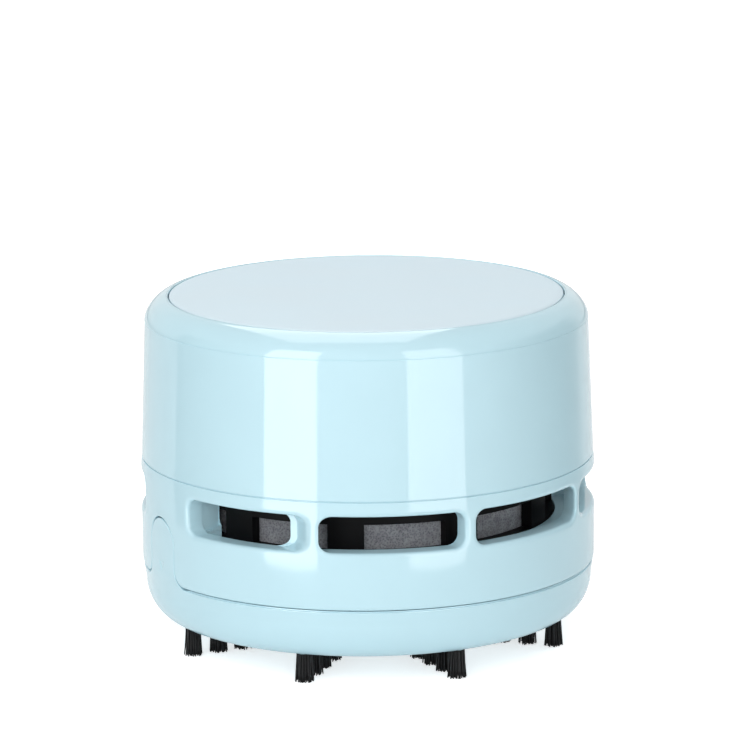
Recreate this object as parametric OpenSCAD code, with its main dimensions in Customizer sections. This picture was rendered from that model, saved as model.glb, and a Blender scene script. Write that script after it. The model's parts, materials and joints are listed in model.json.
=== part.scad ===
// Desktop mini vacuum cleaner that stands on its brushes.
// Origin: centre of the ring of brush tips, at the level of the table.
// +Z is up, and the two release tabs of the dust tray lie on the X axis.
// Air comes up the inlet into the tray, through the dust filter and the eye
// of the intake plate, is thrown out by the impeller through the foam and
// the housing's windows, and leaves by the slots in the lower body.

/* [Heights] */
// Length of the bristles below the dust tray
bristle_h = 5.2; // [4.6:0.1:7]
// Height of the dust tray's outer wall
tray_h = 9.2; // [9:0.1:12]
// Open seam between the dust tray and the lower body
tray_seam = 0.4; // [0.3:0.05:0.6]
// Height of the lower body's outer wall
lower_h = 19.4; // [19:0.1:22]
// Open seam between the lower body and the upper shell
mid_seam = 0.2; // [0.15:0.05:0.4]
// Height of the upper shell, from its foot to the flat top
upper_h = 29.3; // [29.2:0.1:34]
// Height of the shell's rounded shoulder
shoulder_h = 4.3; // [3.5:0.1:5]

/* [Round shells] */
// Outer radius of the lower body at its top edge
body_r = 41.55; // [41.3:0.05:43]
// Step in from the lower body to the upper shell's foot
foot_step = 0.2; // [0:0.05:0.4]
// How far the upper shell draws in from its foot to its crease
upper_draft = 0.95; // [0.6:0.05:1.3]
// Width of the shell's rounded shoulder
shoulder_w = 3.95; // [3.6:0.05:4.3]
// Step in from the lower body to the tray's top edge
tray_step = 0.25; // [0:0.05:0.4]
// How far the tray's wall draws in above its rounded corner
tray_draft = 0.36; // [0.1:0.02:0.5]
// Width of the rounded corner under the tray
corner_w = 4.9; // [4:0.1:5.5]
// Height of the rounded corner under the tray
corner_h = 6.7; // [5:0.1:7.5]
// Wall thickness of the outer shells
wall = 2.0; // [1.6:0.1:2.2]
// Radial clearance where one shell slips inside another
slip = 0.4; // [0.3:0.05:0.5]

/* [Power button] */
// Open gap round the disc
button_gap = 0.35; // [0.3:0.05:0.5]
// Thickness of the disc
button_t = 1.6; // [1.2:0.1:2]
// Depth of the well that the disc sits in
well_depth = 6.2; // [6:0.1:6.6]
// How far the disc can be pressed
button_travel = 1.2; // [0.8:0.1:1.4]
// Radius of the guide stem
stem_r = 3.0; // [2.5:0.1:3.5]
// Radial running clearance of the stem and of the switch plunger
running = 0.08; // [0.03:0.01:0.1]

/* [Dust tray] */
// Thickness of the tray's floor
floor_t = 2.4; // [2.2:0.1:3]
// Radius of the suction inlet
inlet_r = 11; // [9:0.5:12]
// Height of the inlet pipe above the tray's underside
inlet_h = 8.4; // [6:0.1:9]
// Thickness of the inlet pipe
inlet_t = 1.6; // [1.2:0.1:2]
// Height of the collar that centres the tray in the body
collar_h = 2.8; // [2:0.1:3]

/* [Release tabs] */
// Width of the tongue
tab_w = 9.4; // [8:0.1:10]
// Height of the tongue's arched top above the tray's wall
tab_h = 11.7; // [10:0.1:12]
// Radius of the fillets at the tongue's foot
tab_fillet = 3.2; // [2:0.1:3.6]
// Open gap round the tongue
tab_gap = 0.3; // [0.25:0.05:0.4]
// Thickness of the catch behind the body's wall
catch_t = 1.6; // [1.2:0.1:1.8]
// Height of the catch above the tongue's top
catch_rise = 2.9; // [2:0.1:3]
// Width of the arrow pressed into the tongue
arrow_w = 2.3; // [1.5:0.1:3]

/* [Brushes] */
// Number of radial rows of tufts
brush_rows = 8; // [8]
// Number of tufts in a row
tufts = 4; // [3:4]
// Distance from the tray's outer wall in to the outermost tuft
tuft_inset = 5.44; // [5.3:0.02:6.4]
// Distance between neighbouring tufts
tuft_pitch = 4.9; // [4:0.1:5]
// Radius of a tuft where it leaves the tray
tuft_r = 1.2; // [1:0.05:1.3]
// Radius of a tuft at its tips
tip_r = 1.5; // [1.2:0.05:1.6]
// Strands in a tuft
strands = 14; // [10:15]
// Radius of a strand
strand_r = 0.2; // [0.15:0.01:0.22]
// Depth of the backing strip in the tray's floor
strip_t = 1.4; // [1:0.1:1.6]

/* [Exhaust slots] */
// Height of a slot
slot_h = 6.5; // [5:0.1:7]
// Height of the slots' lower edge above the lower body's foot
slot_rise = 10.3; // [9.5:0.1:10.6]
// Radius of the slots' rounded corners
slot_round = 2.0; // [1:0.1:2.4]
// Half angle of the plain pillar beside each release tab
pillar_half = 13.1; // [12:0.1:14.5]
// Width of the rib in the middle of each side
mid_rib = 2.2; // [1.6:0.1:3]
// Distance from the middle to the rib between two slots
side_rib_x = 25.4; // [24:0.1:26]
// Width of that rib
side_rib = 1.66; // [1.4:0.02:2]
// Depth of the slots' frame, from the outer radius inwards
frame_t = 4.5; // [4:0.1:5]

/* [Fan] */
// Distance from the slots' frame in to the fan housing
cage_inset = 3.05; // [2.75:0.05:3.2]
// Wall of the fan housing
cage_t = 2; // [1.6:0.1:2.2]
// Number of windows round the housing
windows = 10; // [8:12]
// Height of a window
window_h = 4.9; // [4:0.1:5]
// Angle that a window spans
window_angle = 25; // [20:0.5:26]
// Turn of the first window from the X axis
window_turn = 3.2; // [0:0.1:10]
// Thickness of the housing's flange, roof and intake plate
plate_t = 1.5; // [1.2:0.1:1.6]
// Radius of the eye in the intake plate
eye_r = 12; // [10:0.5:13]
// Room between the impeller and the foam
fan_room = 2.7; // [1.8:0.1:5]
// Number of impeller blades
blades = 9; // [6:11]
// Thickness of a blade
blade_t = 1.0; // [0.8:0.1:1.4]
// Running gap above and below the impeller
fan_gap = 0.6; // [0.4:0.1:1]
// Thickness of the exhaust foam
foam_t = 2.1; // [1.6:0.1:2.3]
// Thickness of the dust filter
filter_t = 1.2; // [1:0.1:1.6]

/* [Motor] */
// Diameter of the motor can
motor_d = 20; // [19:0.5:21]
// Width across the can's flats
motor_w = 15; // [14:0.5:16]
// Height of the motor without its boss
motor_h = 24.8; // [24:0.1:25]
// Height of its plastic end cap
cap_h = 5.2; // [4.5:0.1:6]
// Radius of the motor shaft
shaft_r = 1.0; // [0.8:0.1:1.2]
// Radius of the boss round the shaft
boss_r = 3.0; // [2.5:0.1:3.5]
// Thickness of the steel strap over the motor
strap_t = 0.6; // [0.4:0.1:0.7]
// Width of the strap
strap_w = 6; // [4:0.5:6]

/* [Cells and contacts] */
// Radius of a cell
cell_r = 7.1; // [6.9:0.05:7.2]
// Length of a cell without its nub
cell_len = 49.0; // [48:0.1:49.4]
// Height of the cell's nub
nub_h = 1.4; // [1:0.1:1.5]
// Space between the motor's flat and the cell
cell_side = 3.0; // [2.8:0.1:3.4]
// Thickness of the contact plates
contact_t = 0.4; // [0.3:0.05:0.5]
// Length of a contact spring with its cell in
spring_len = 2.2; // [2:0.1:2.4]
// Thickness of the deck that carries the cells
deck_t = 1.8; // [1.5:0.1:2]

/* [Switch] */
// Distance of the switch from the axis
switch_x = 19.6; // [18.8:0.1:20]
// Width of the square switch
switch_w = 7; // [6:0.1:8]
// Height of the switch's case
switch_h = 5.5; // [5:0.1:6]
// Radius of the plunger
plunger_r = 1.6; // [1.2:0.1:2]
// Length of the plunger that stands out
plunger_out = 2.2; // [2:0.1:2.4]
// Thickness of the switch board
board_t = 1.2; // [1:0.1:1.6]
// Radius of a wire
wire_r = 0.55; // [0.4:0.05:0.6]

/* [Hidden] */
$fn = 96;
slit = 0.2;                // smallest gap between pieces of two bodies
over = 1;                  // how far a cutter runs past a face

// Levels, from the table up
tray_z = bristle_h;
tray_top = tray_z + tray_h;
low_z = tray_top + tray_seam;
mid_z = low_z + lower_h;
up_z = mid_z + mid_seam;
top_z = up_z + upper_h;
crease_z = top_z - shoulder_h;
well_z = top_z - well_depth;
well_t = 1.6;
well_under = well_z - well_t;
slot_z = low_z + slot_rise;
ledge_t = 1.5;
ledge_top = slot_z - 1.7;
ledge_z = ledge_top - ledge_t;
cage_z = ledge_z - plate_t;
plate_z = cage_z - plate_t;
window_z = ledge_top + slit;
roof_z = window_z + window_h;
motor_z = roof_z + plate_t;
motor_top = motor_z + motor_h;
deck_z = mid_z - 1;
deck_top = deck_z + deck_t;
filter_z = plate_z - filter_t - 0.6;

// Radii
in_r = body_r - wall;
foot_r = body_r - foot_step;
crease_r = foot_r - upper_draft;
lip = 0.3;
well_r = crease_r - shoulder_w - lip;
button_r = well_r - button_gap;
tray_r = body_r - tray_step;
corner_r = tray_r - tray_draft;
cavity_r = corner_r - wall;
cavity_round = 4;
collar_r = in_r - slip;
collar_t = 1.1;
deck_r = foot_r - upper_draft * (deck_top + 3 - up_z) / (crease_z - up_z) - wall - slip / 2;
spigot_t = 1.0;
spigot_h = 2.5;
frame_r = body_r - frame_t;
cage_r = frame_r - cage_inset;
ledge_r = cage_r + 0.3;
pillar_top = deck_z - 0.1; // just under the deck, which sits on the ring step
column_half = pillar_half + 1; // the slots trim the pillar column back to the pillar
flange_r = collar_r - collar_t + slit;
foam_r = cage_r - cage_t - slit;
fan_r = foam_r - foam_t - fan_room;
rim_r = cage_r - 1;
filter_r = rim_r - 5.2;
tuft_outer_r = corner_r - tuft_inset;

// Release tab: where it turns and the room behind it
hinge_x = sqrt(pow(in_r, 2) - pow(tab_w / 2 + tab_fillet, 2)) - 0.1;
tab_top = tray_top + tab_h;
catch_top = tab_top + catch_rise;
catch_r = in_r - 0.3;
catch_w = tab_w - 1.4;
catch_z = tab_top - 6;
pocket_w = tab_w + 1.4;
pocket_r = catch_r - catch_t - 1.7;
pocket_top = catch_top + 0.6;
collar_gap = tab_w + 5.6;

// Screws
column_x = frame_r - 1.5;
column_y = pocket_w / 2 + 1.4;
screw_r = 0.85;
pilot_r = 0.9;
head_r = 1.7;
head_h = 1.3;

// Cells, motor strap and switch
cell_y = motor_w / 2 + cell_side + cell_r;
cell_z = deck_top + 0.4 + cell_r;
contact_x = cell_len / 2 + nub_h / 2 + spring_len;
nub_x = cell_len / 2 + nub_h / 2;
contact_w = 9;
contact_h = 9;
rail_y = motor_w / 2 + 1.1;
rail_t = 1.2;
rail_h = 8.4;
strap_x = motor_d / 2 + 0.05;
strap_screw_x = strap_x + strap_t + 2.9;
strap_foot = 5.6;
side_rail = cell_len - 9;
saddle_x = cell_len / 3 - 0.3;
board_w = 15.8;
board_x0 = switch_x - switch_w / 2 - 1.6;
board_l = contact_x - 0.6 - board_x0;
post_x = board_x0 + board_l - 2.1;
post_y = 5.9;
post_r = 1.8;
plunger_top = well_z + well_depth - button_t - 7.7;
switch_z = plunger_top - plunger_out - switch_h;
board_z = switch_z - board_t;
pin_h = 1.6;
button_under = top_z - button_t;
skirt_t = 2.0;
skirt_h = well_depth - button_t - button_travel - 0.5;
stem_end = well_under + 1;
guide_t = 1.4;
guide_h = 2.2;
leg_r = button_r - skirt_t - 3.4;
leg_t = 1.6;
leg_w = 5;
hook = 0.9;
leg_turns = [60, 180, 300];

shell_blue = [0.68, 0.86, 0.93];
disc_blue = [0.74, 0.85, 0.90];
soft_black = [0.07, 0.07, 0.08];
foam_grey = [0.36, 0.37, 0.39];
steel = [0.72, 0.73, 0.75];
brass = [0.80, 0.66, 0.36];

// ---- Helpers ----

// Points of an elliptical arc about (cx, cz), from angle a0 to a1
function arc(cx, cz, rx, rz, a0, a1, steps) =
    [for (i = [0 : steps]) let (a = a0 + (a1 - a0) * i / steps) [cx + rx * cos(a), cz + rz * sin(a)]];

// Vector of length 1 along v, or the spare vector where v has no length
function unit(v, spare) = norm(v) > 0.0001 ? v / norm(v) : (norm(spare) > 0 ? spare / norm(spare) : spare);

// Ring of rectangular section
module ring(r_in, r_out, z, h) {
    rotate_extrude() translate([r_in, z]) square([r_out - r_in, h]);
}

// Part of a ring, from angle a0 over a span
module ring_part(r_in, r_out, z, h, a0, span) {
    rotate([0, 0, a0]) rotate_extrude(angle = span) translate([r_in, z]) square([r_out - r_in, h]);
}

// Block centred on the Y axis, from x0 to x1 and from z0 to z1
module slab(x0, x1, width, z0, z1) {
    translate([x0, -width / 2, z0]) cube([x1 - x0, width, z1 - z0]);
}

// Wire through a list of points: one eight-sided tube, mitred at each bend
module wire(route) {
    sides = 8;
    last = len(route) - 1;
    rings = [for (i = [0 : last])
        let (
            before = unit(route[i] - route[max(i - 1, 0)], route[1] - route[0]),
            after = unit(route[min(i + 1, last)] - route[i], before),
            along = unit(before + after, before),
            across = unit(cross(along, abs(along[2]) > 0.9 ? [1, 0, 0] : [0, 0, 1]), [1, 0, 0]),
            up = cross(across, along),
            bend = 1 / (along * before)
        )
        for (j = [0 : sides - 1]) let (
            a = 360 * j / sides,
            p = wire_r * (cos(a) * across + sin(a) * up),
            turn = unit(after - before, [0, 0, 0])
        ) route[i] + p + (bend - 1) * (p * turn) * turn];
    walls = [for (i = [0 : last - 1], j = [0 : sides - 1])
        let (k = (j + 1) % sides, p = i * sides, q = p + sides)
        each [[p + j, q + j, p + k], [p + k, q + j, q + k]]];
    start = [for (j = [1 : sides - 2]) [0, j, j + 1]];
    end = [for (j = [1 : sides - 2]) let (p = last * sides) [p, p + j + 1, p + j]];
    polyhedron(points = rings, faces = concat(walls, start, end), convexity = 6);
}

// Pan-head screw: head above z = 0, shank below, cross recess on top
module pan_screw(shank) {
    difference() {
        union() {
            cylinder(h = head_h, r = head_r, $fn = 32);
            translate([0, 0, -shank]) cylinder(h = shank + head_h / 2, r = screw_r, $fn = 24);
        }
        for (turn = [0, 90]) rotate([0, 0, turn]) slab(-1, 1, 0.4, head_h - 0.6, head_h + over);
    }
}

// The four screw places in the pillar columns
module at_columns() {
    for (sx = [-1, 1], sy = [-1, 1]) translate([sx * column_x, sy * column_y, 0]) children();
}

// Coil of round wire about Z, from z = 0 to z = h, as one closed tube
module coil(mean_r, wire_radius, h, turns) {
    sides = 6;
    rings = 8 * turns;
    rise = (h - 2 * wire_radius) / rings;
    points = [for (i = [0 : rings], j = [0 : sides - 1])
        let (a = 45 * i, b = 360 * j / sides, r = mean_r + wire_radius * cos(b))
        [r * cos(a), r * sin(a), wire_radius + rise * i + wire_radius * sin(b)]];
    walls = [for (i = [0 : rings - 1], j = [0 : sides - 1])
        let (k = (j + 1) % sides, p = i * sides, q = p + sides)
        each [[p + j, p + k, q + j], [p + k, q + k, q + j]]];
    first = [for (j = [1 : sides - 2]) [0, j + 1, j]];
    last = [for (j = [1 : sides - 2]) let (p = rings * sides) [p, p + j, p + j + 1]];
    polyhedron(points = points, faces = concat(walls, first, last), convexity = 6);
}

// ---- Dust tray, its tabs and its brushes ----

// Outside of the tray in section
module tray_outline() {
    polygon(concat(
        [[0, tray_z]],
        arc(corner_r - corner_w, tray_z + corner_h, corner_w, corner_h, -90, 0, 9),
        [[tray_r, tray_top], [0, tray_top]]
    ));
}

// Hollow of the tray in section
module tray_cavity() {
    floor_z = tray_z + floor_t;
    polygon(concat(
        [[0, floor_z]],
        arc(cavity_r - cavity_round, floor_z + cavity_round, cavity_round, cavity_round, -90, 0, 6),
        [[cavity_r, tray_top + over], [0, tray_top + over]]
    ));
}

// Bristle tuft number i lies at this radius
function tuft_at(i) = tuft_outer_r - tuft_pitch * i;

// Backing strip of a brush row, grown for its seat
module brush_strip(grow) {
    x0 = tuft_at(tufts - 1);
    half = tuft_r + strand_r + 0.05 + grow;
    translate([0, 0, tray_z - (grow > 0 ? over : 0)])
        linear_extrude(height = strip_t + (grow > 0 ? over + grow : 0)) {
            translate([x0, -half]) square([tuft_outer_r - x0, 2 * half]);
            for (x = [x0, tuft_outer_r]) translate([x, 0]) circle(r = half, $fn = 32);
        }
}

// One tuft: three-sided strands that spread from the strip to the table
module tuft(turn) {
    sides = 3;
    root_z = tray_z + strip_t / 2;
    points = [for (i = [0 : strands - 1], level = [0, 1], j = [0 : sides - 1])
        let (share = sqrt((i + 0.5) / strands), a = turn + 137.5 * i, b = 360 * j / sides,
             spread = share * (level == 0 ? tip_r : tuft_r))
        [spread * cos(a) + strand_r * cos(b), spread * sin(a) + strand_r * sin(b), level == 0 ? 0 : root_z]];
    faces = [for (i = [0 : strands - 1]) let (p = 6 * i) each [
        [p, p + 1, p + 2], [p + 3, p + 5, p + 4],
        [p, p + 3, p + 1], [p + 1, p + 3, p + 4],
        [p + 1, p + 4, p + 2], [p + 2, p + 4, p + 5],
        [p + 2, p + 5, p], [p, p + 5, p + 3]
    ]];
    polyhedron(points = points, faces = faces, convexity = 10);
}

// Radial row of tufts on its strip
module brush_row(number) {
    color(soft_black) rotate([0, 0, 180 + 360 / brush_rows * (number - 1)]) {
        brush_strip(0);
        for (i = [0 : tufts - 1]) translate([tuft_at(i), 0, 0]) tuft(40 * i + 25 * number);
    }
}

module base_cover() {
    color(shell_blue) difference() {
        union() {
            rotate_extrude() difference() {
                tray_outline();
                tray_cavity();
            }
            ring(collar_r - collar_t, collar_r, tray_top - 2.5, 2.5 + collar_h);
            ring(inlet_r - slit, inlet_r + inlet_t, tray_z, inlet_h);
        }
        translate([0, 0, tray_z - over]) cylinder(h = inlet_h + 2 * over, r = inlet_r);
        for (k = [0 : brush_rows - 1]) rotate([0, 0, 360 / brush_rows * k]) brush_strip(0.05);
        for (side = [0, 180]) rotate([0, 0, side])
            slab(pocket_r, body_r, collar_gap, tray_top, tray_top + collar_h + over);
    }
}

// Outline of the release tongue seen from outside, across and up.
// It flows into the tray with fillets, and gap grows it for its notch.
module tab_outline(gap) {
    half = tab_w / 2 + gap;
    centre_z = tab_top + gap - half;
    low = tray_top - (gap > 0 ? over : 0);
    translate([0, centre_z]) circle(r = half);
    translate([-half, low]) square([2 * half, centre_z - low]);
    for (side = [0, 1]) mirror([side, 0]) difference() {
        translate([half - slit, low]) square([tab_fillet - gap + slit, tray_top + tab_fillet - low]);
        translate([tab_w / 2 + tab_fillet, tray_top + tab_fillet]) circle(r = tab_fillet - gap);
    }
}

// The outline stood up across the X axis, from x0 to x1
module tab_prism(x0, x1, gap) {
    translate([x0, 0, 0]) rotate([90, 0, 90]) linear_extrude(height = x1 - x0) tab_outline(gap);
}

// Release tab on the +X side
module release_tab() {
    arrow_h = arrow_w * 0.87;
    arrow_z = tray_top + 2.1;
    color(shell_blue) difference() {
        union() {
            intersection() {
                union() {
                    rotate_extrude() polygon([
                        [in_r, tray_top], [tray_r, tray_top], [body_r - 0.05, low_z + 0.8],
                        [body_r, tab_top + over], [in_r, tab_top + over]
                    ]);
                    ring(catch_r - catch_t, in_r + 0.5, catch_z, tab_top - 1 - catch_z);
                }
                tab_prism(catch_r - catch_t - over, body_r + over, 0);
            }
            intersection() {
                ring(catch_r - catch_t, catch_r, catch_z, catch_top - catch_z);
                slab(hinge_x - 5, body_r, catch_w, catch_z, catch_top);
            }
        }
        translate([body_r - 0.25, 0, arrow_z]) rotate([90, 0, 90]) linear_extrude(height = over)
            polygon([[0, 0], [arrow_w / 2, arrow_h], [-arrow_w / 2, arrow_h]]);
    }
}

module release_tab_left() {
    rotate([0, 0, 180]) release_tab();
}

module release_tab_right() {
    release_tab();
}

// Room behind both tabs
module tab_pockets() {
    for (side = [0, 180]) rotate([0, 0, side])
        slab(pocket_r, in_r, pocket_w, plate_z - over, pocket_top);
}

// ---- Lower body ----

// Rounded rectangle standing in X and Z, run along +Y from y0
module slot_cut(x0, x1, y0) {
    r = slot_round;
    translate([0, y0, 0]) rotate([90, 0, 0]) mirror([0, 0, 1]) linear_extrude(height = body_r + over - y0) {
        translate([x0 + r, slot_z]) square([x1 - x0 - 2 * r, slot_h]);
        translate([x0, slot_z + r]) square([x1 - x0, slot_h - 2 * r]);
        for (x = [x0 + r, x1 - r], z = [slot_z + r, slot_z + slot_h - r])
            translate([x, z]) circle(r = r, $fn = 32);
    }
}

// The two slots of one quarter: the walls run along Y, as the mould opens,
// and the wall at the pillar is radial
module quarter_slots() {
    side_x = side_rib_x + side_rib;
    reach = frame_r * sin(acos(side_x / frame_r) - pillar_half) - 0.5;
    slot_cut(mid_rib / 2, side_rib_x, cage_r / 2);
    slot_cut(side_x, frame_r + over, in_r * sin(pillar_half));
    rotate([0, 0, pillar_half - 90]) slot_cut(-reach, 0, cage_r - cage_inset);
}

module exhaust_slots() {
    for (mx = [0, 1], my = [0, 1]) mirror([mx, 0, 0]) mirror([0, my, 0]) quarter_slots();
}

module lower_body() {
    color(shell_blue) difference() {
        union() {
            rotate_extrude() polygon([
                [in_r, low_z], [body_r - 0.35, low_z], [body_r - 0.05, low_z + 0.8],
                [body_r, mid_z], [in_r, mid_z]
            ]);
            ring(frame_r, in_r + 0.5, ledge_z, deck_z - ledge_z);
            ring(ledge_r, frame_r + 0.5, ledge_z, ledge_t);
            for (side = [0, 180])
                ring_part(ledge_r, frame_r + 0.5, ledge_z, pillar_top - ledge_z, side - column_half, 2 * column_half);
        }
        exhaust_slots();
        tab_pockets();
        for (side = [0, 180]) rotate([0, 0, side]) tab_prism(in_r - over, body_r + over, tab_gap);
        at_columns() translate([0, 0, ledge_z - over]) cylinder(h = deck_z - ledge_z + 2 * over, r = pilot_r, $fn = 24);
    }
}

// ---- Fan and filters ----

// Motor's outline, grown all round
module motor_outline(grow) {
    intersection() {
        circle(r = motor_d / 2 + grow);
        square([motor_d + 2 * grow + over, motor_w + 2 * grow], center = true);
    }
}

module fan_housing() {
    color(soft_black) difference() {
        union() {
            ring(cage_r - cage_t, cage_r, cage_z, deck_z - cage_z);
            ring(cage_r - cage_t, flange_r, cage_z, plate_t);
            ring(boss_r + slit, cage_r, roof_z, plate_t);
            translate([0, 0, motor_z - slit]) linear_extrude(height = deck_z - motor_z) difference() {
                motor_outline(1.3);
                motor_outline(0.1);
            }
        }
        for (k = [0 : windows - 1])
            ring_part(cage_r - cage_t - over, cage_r + over, window_z, window_h,
                      window_turn + 360 / windows * k - window_angle / 2, window_angle);
        tab_pockets();
        at_columns() translate([0, 0, cage_z - over]) cylinder(h = plate_t + 2 * over, r = pilot_r, $fn = 24);
    }
}

module intake_plate() {
    color(soft_black) difference() {
        ring(eye_r, flange_r, plate_z, plate_t);
        tab_pockets();
        at_columns() translate([0, 0, plate_z - over]) cylinder(h = plate_t + 2 * over, r = pilot_r, $fn = 24);
    }
}

module exhaust_foam() {
    color(foam_grey) ring(foam_r - foam_t, foam_r, cage_z, roof_z - cage_z);
}

module filter_frame() {
    bar_t = 1.2;
    bar_w = 2;
    bar_len = 2 * filter_r + 1.4;
    low = filter_z - bar_t;
    color(soft_black) {
        ring(filter_r + slit, rim_r, low, plate_z - low);
        translate([0, 0, low]) {
            cylinder(h = bar_t, r = 2 * bar_w);
            for (turn = [0, 60, 120]) rotate([0, 0, turn]) slab(-bar_len / 2, bar_len / 2, bar_w, 0, bar_t);
        }
    }
}

module dust_filter() {
    color("white") translate([0, 0, filter_z]) cylinder(h = filter_t, r = filter_r);
}

module housing_screws() {
    color(steel) at_columns() translate([0, 0, plate_z]) mirror([0, 0, 1]) pan_screw(8);
}

// Angle about the blade's own centre at which its arc crosses radius r
arc_centre = 16;
arc_r = 14;
function blade_angle(r) = acos((r * r - arc_centre * arc_centre - arc_r * arc_r) / (2 * arc_centre * arc_r));

module impeller() {
    low = cage_z + fan_gap;
    back_t = 1.1;
    back_z = roof_z - fan_gap - back_t;
    hub_r = 4.5;
    a0 = blade_angle(fan_r - 0.3);
    a1 = blade_angle(hub_r + 4);
    color("lightgray") difference() {
        union() {
            translate([0, 0, back_z]) cylinder(h = back_t, r = fan_r);
            translate([0, 0, low + 1.5]) cylinder(h = back_z - low, r = hub_r);
            for (k = [0 : blades - 1]) rotate([0, 0, 360 / blades * k]) translate([arc_centre, 0, 0])
                ring_part(arc_r - blade_t / 2, arc_r + blade_t / 2, low, back_z - low + 0.3, a0, a1 - a0);
        }
        translate([0, 0, low + 3]) cylinder(h = roof_z, r = shaft_r, $fn = 32);
    }
}

// ---- Motor ----

bush_r = shaft_r + 1.2;
shaft_top = motor_top - 1.2;
tag_w = 1.8;
tag_t = 0.4;
tag_y = 3.7;
tag_z = motor_top - cap_h + 2;

module motor_shaft() {
    foot = cage_z + fan_gap + 3;
    color(steel) translate([0, 0, foot]) cylinder(h = shaft_top - foot, r = shaft_r, $fn = 32);
}

module armature() {
    core_r = 6;
    core_z = motor_z + 5.5;
    core_h = 11;
    color([0.62, 0.36, 0.20]) difference() {
        union() {
            translate([0, 0, core_z]) cylinder(h = core_h, r = core_r);
            translate([0, 0, core_z + core_h - over]) cylinder(h = 3, r = 3.2);
            translate([0, 0, core_z + core_h]) cylinder(h = motor_top - 3.6 - core_z - core_h, r = 2.2);
        }
        translate([0, 0, core_z - over]) cylinder(h = motor_h, r = shaft_r, $fn = 32);
        for (turn = [0, 120, 240]) rotate([0, 0, turn]) slab(core_r - 1.6, core_r + over, 1.4, core_z - over, core_z + core_h + over);
    }
}

module motor_can() {
    can_t = 0.8;
    color(steel) difference() {
        union() {
            translate([0, 0, motor_z]) linear_extrude(height = motor_h - cap_h) motor_outline(0);
            translate([0, 0, roof_z + 0.3]) cylinder(h = plate_t, r = boss_r);
        }
        translate([0, 0, motor_z + can_t]) linear_extrude(height = motor_h) motor_outline(-can_t);
        translate([0, 0, roof_z - over]) cylinder(h = 2 * plate_t + over, r = bush_r, $fn = 48);
    }
}

module motor_magnets() {
    magnet_r = motor_d / 2 - 0.9;
    magnet_t = 1.8;
    magnet_h = 14;
    magnet_rise = 4;
    magnet_half = 38;
    color([0.2, 0.2, 0.22]) for (side = [0, 180])
        ring_part(magnet_r - magnet_t, magnet_r, motor_z + magnet_rise, magnet_h, side - magnet_half, 2 * magnet_half);
}

module motor_end_cap() {
    color("ivory") difference() {
        translate([0, 0, motor_top - cap_h]) linear_extrude(height = cap_h) motor_outline(0);
        translate([0, 0, motor_top - cap_h - over]) cylinder(h = cap_h - 2 + over, r = 4.5);
        translate([0, 0, motor_top - cap_h]) cylinder(h = cap_h + over, r = bush_r, $fn = 48);
        terminal_tags();
    }
}

// Terminal tags that stand out of the end cap on both sides
module terminal_tags() {
    for (side = [-1, 1]) translate([side < 0 ? -motor_d / 2 - 2.5 : motor_d / 2 - 1.8, tag_y, tag_z])
        cube([4.3, tag_w, tag_t]);
}

// Bearing bushes in the can's boss and in the end cap
module motor_bushes() {
    bore = shaft_r + 0.05;
    color(brass) {
        ring(bore, bush_r, roof_z + 0.3, 2);
        ring(bore, bush_r, motor_top - 2, 1.8);
    }
}

module motor_terminals() {
    color(brass) terminal_tags();
}

module motor_strap() {
    outer = strap_x + strap_t;
    color(steel) difference() {
        union() {
            slab(-outer, outer, strap_w, motor_top, motor_top + strap_t);
            for (side = [0, 180]) rotate([0, 0, side]) {
                slab(strap_x, outer, strap_w, deck_top, motor_top + strap_t);
                slab(strap_x, outer + strap_foot, strap_w, deck_top, deck_top + strap_t);
            }
        }
        for (side = [-1, 1]) translate([side * strap_screw_x, 0, deck_top - over])
            cylinder(h = 3, r = pilot_r, $fn = 24);
    }
}

module strap_screws() {
    color(steel) for (side = [-1, 1]) translate([side * strap_screw_x, 0, deck_top + strap_t]) pan_screw(4);
}

// ---- Battery deck and contacts ----

module battery_deck() {
    rail_len = 2 * nub_x;
    end_y = cell_y + contact_w / 2 + 0.4;
    color(soft_black) difference() {
        union() {
            translate([0, 0, deck_z]) cylinder(h = deck_t, r = deck_r);
            ring(deck_r - spigot_t, deck_r, deck_top - 0.5, spigot_h + 0.5);
            for (side = [-1, 1]) {
                translate([-rail_len / 2, side * (rail_y + rail_t / 2) - rail_t / 2, deck_z])
                    cube([rail_len, rail_t, deck_t + rail_h]);
                translate([-side_rail / 2, side * (cell_y + cell_r + 1.1) - rail_t / 2, deck_z])
                    cube([side_rail, rail_t, deck_t + 5]);
                for (x = [-saddle_x, saddle_x]) translate([x - 1, side * cell_y - cell_r, deck_z])
                    cube([2, 2 * cell_r, deck_t + 2.4]);
                translate([side * (contact_x + contact_t) - (side < 0 ? 1.4 : 0), -end_y, deck_z])
                    cube([1.4, 2 * end_y, deck_t + 12]);
                translate([post_x, side * post_y, deck_z]) cylinder(h = board_z - deck_z, r = post_r, $fn = 48);
                translate([side * strap_screw_x, 0, motor_z + slit]) cylinder(h = deck_top - motor_z - slit, r = 2.2, $fn = 48);
            }
        }
        translate([0, 0, deck_z - over]) linear_extrude(height = deck_t + 2 * over) motor_outline(0.3);
        for (side = [-1, 1]) {
            translate([-rail_len / 2, side * cell_y, cell_z]) rotate([0, 90, 0]) cylinder(h = rail_len, r = cell_r + 0.1);
            translate([post_x, side * post_y, board_z - 6]) cylinder(h = 7, r = pilot_r, $fn = 24);
            translate([side * strap_screw_x, 0, motor_z]) cylinder(h = 10, r = pilot_r, $fn = 24);
        }
        translate([-contact_x - contact_t - 2, -cell_y + contact_w / 2 + 1.5, deck_top])
            cube([3, 2 * (cell_y - contact_w / 2 - 1.5), 13]);
        at_columns() translate([0, 0, deck_z - over]) cylinder(h = 10, r = pilot_r, $fn = 24);
    }
}

module deck_screws() {
    color(steel) at_columns() translate([0, 0, deck_top]) pan_screw(4);
}

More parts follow.
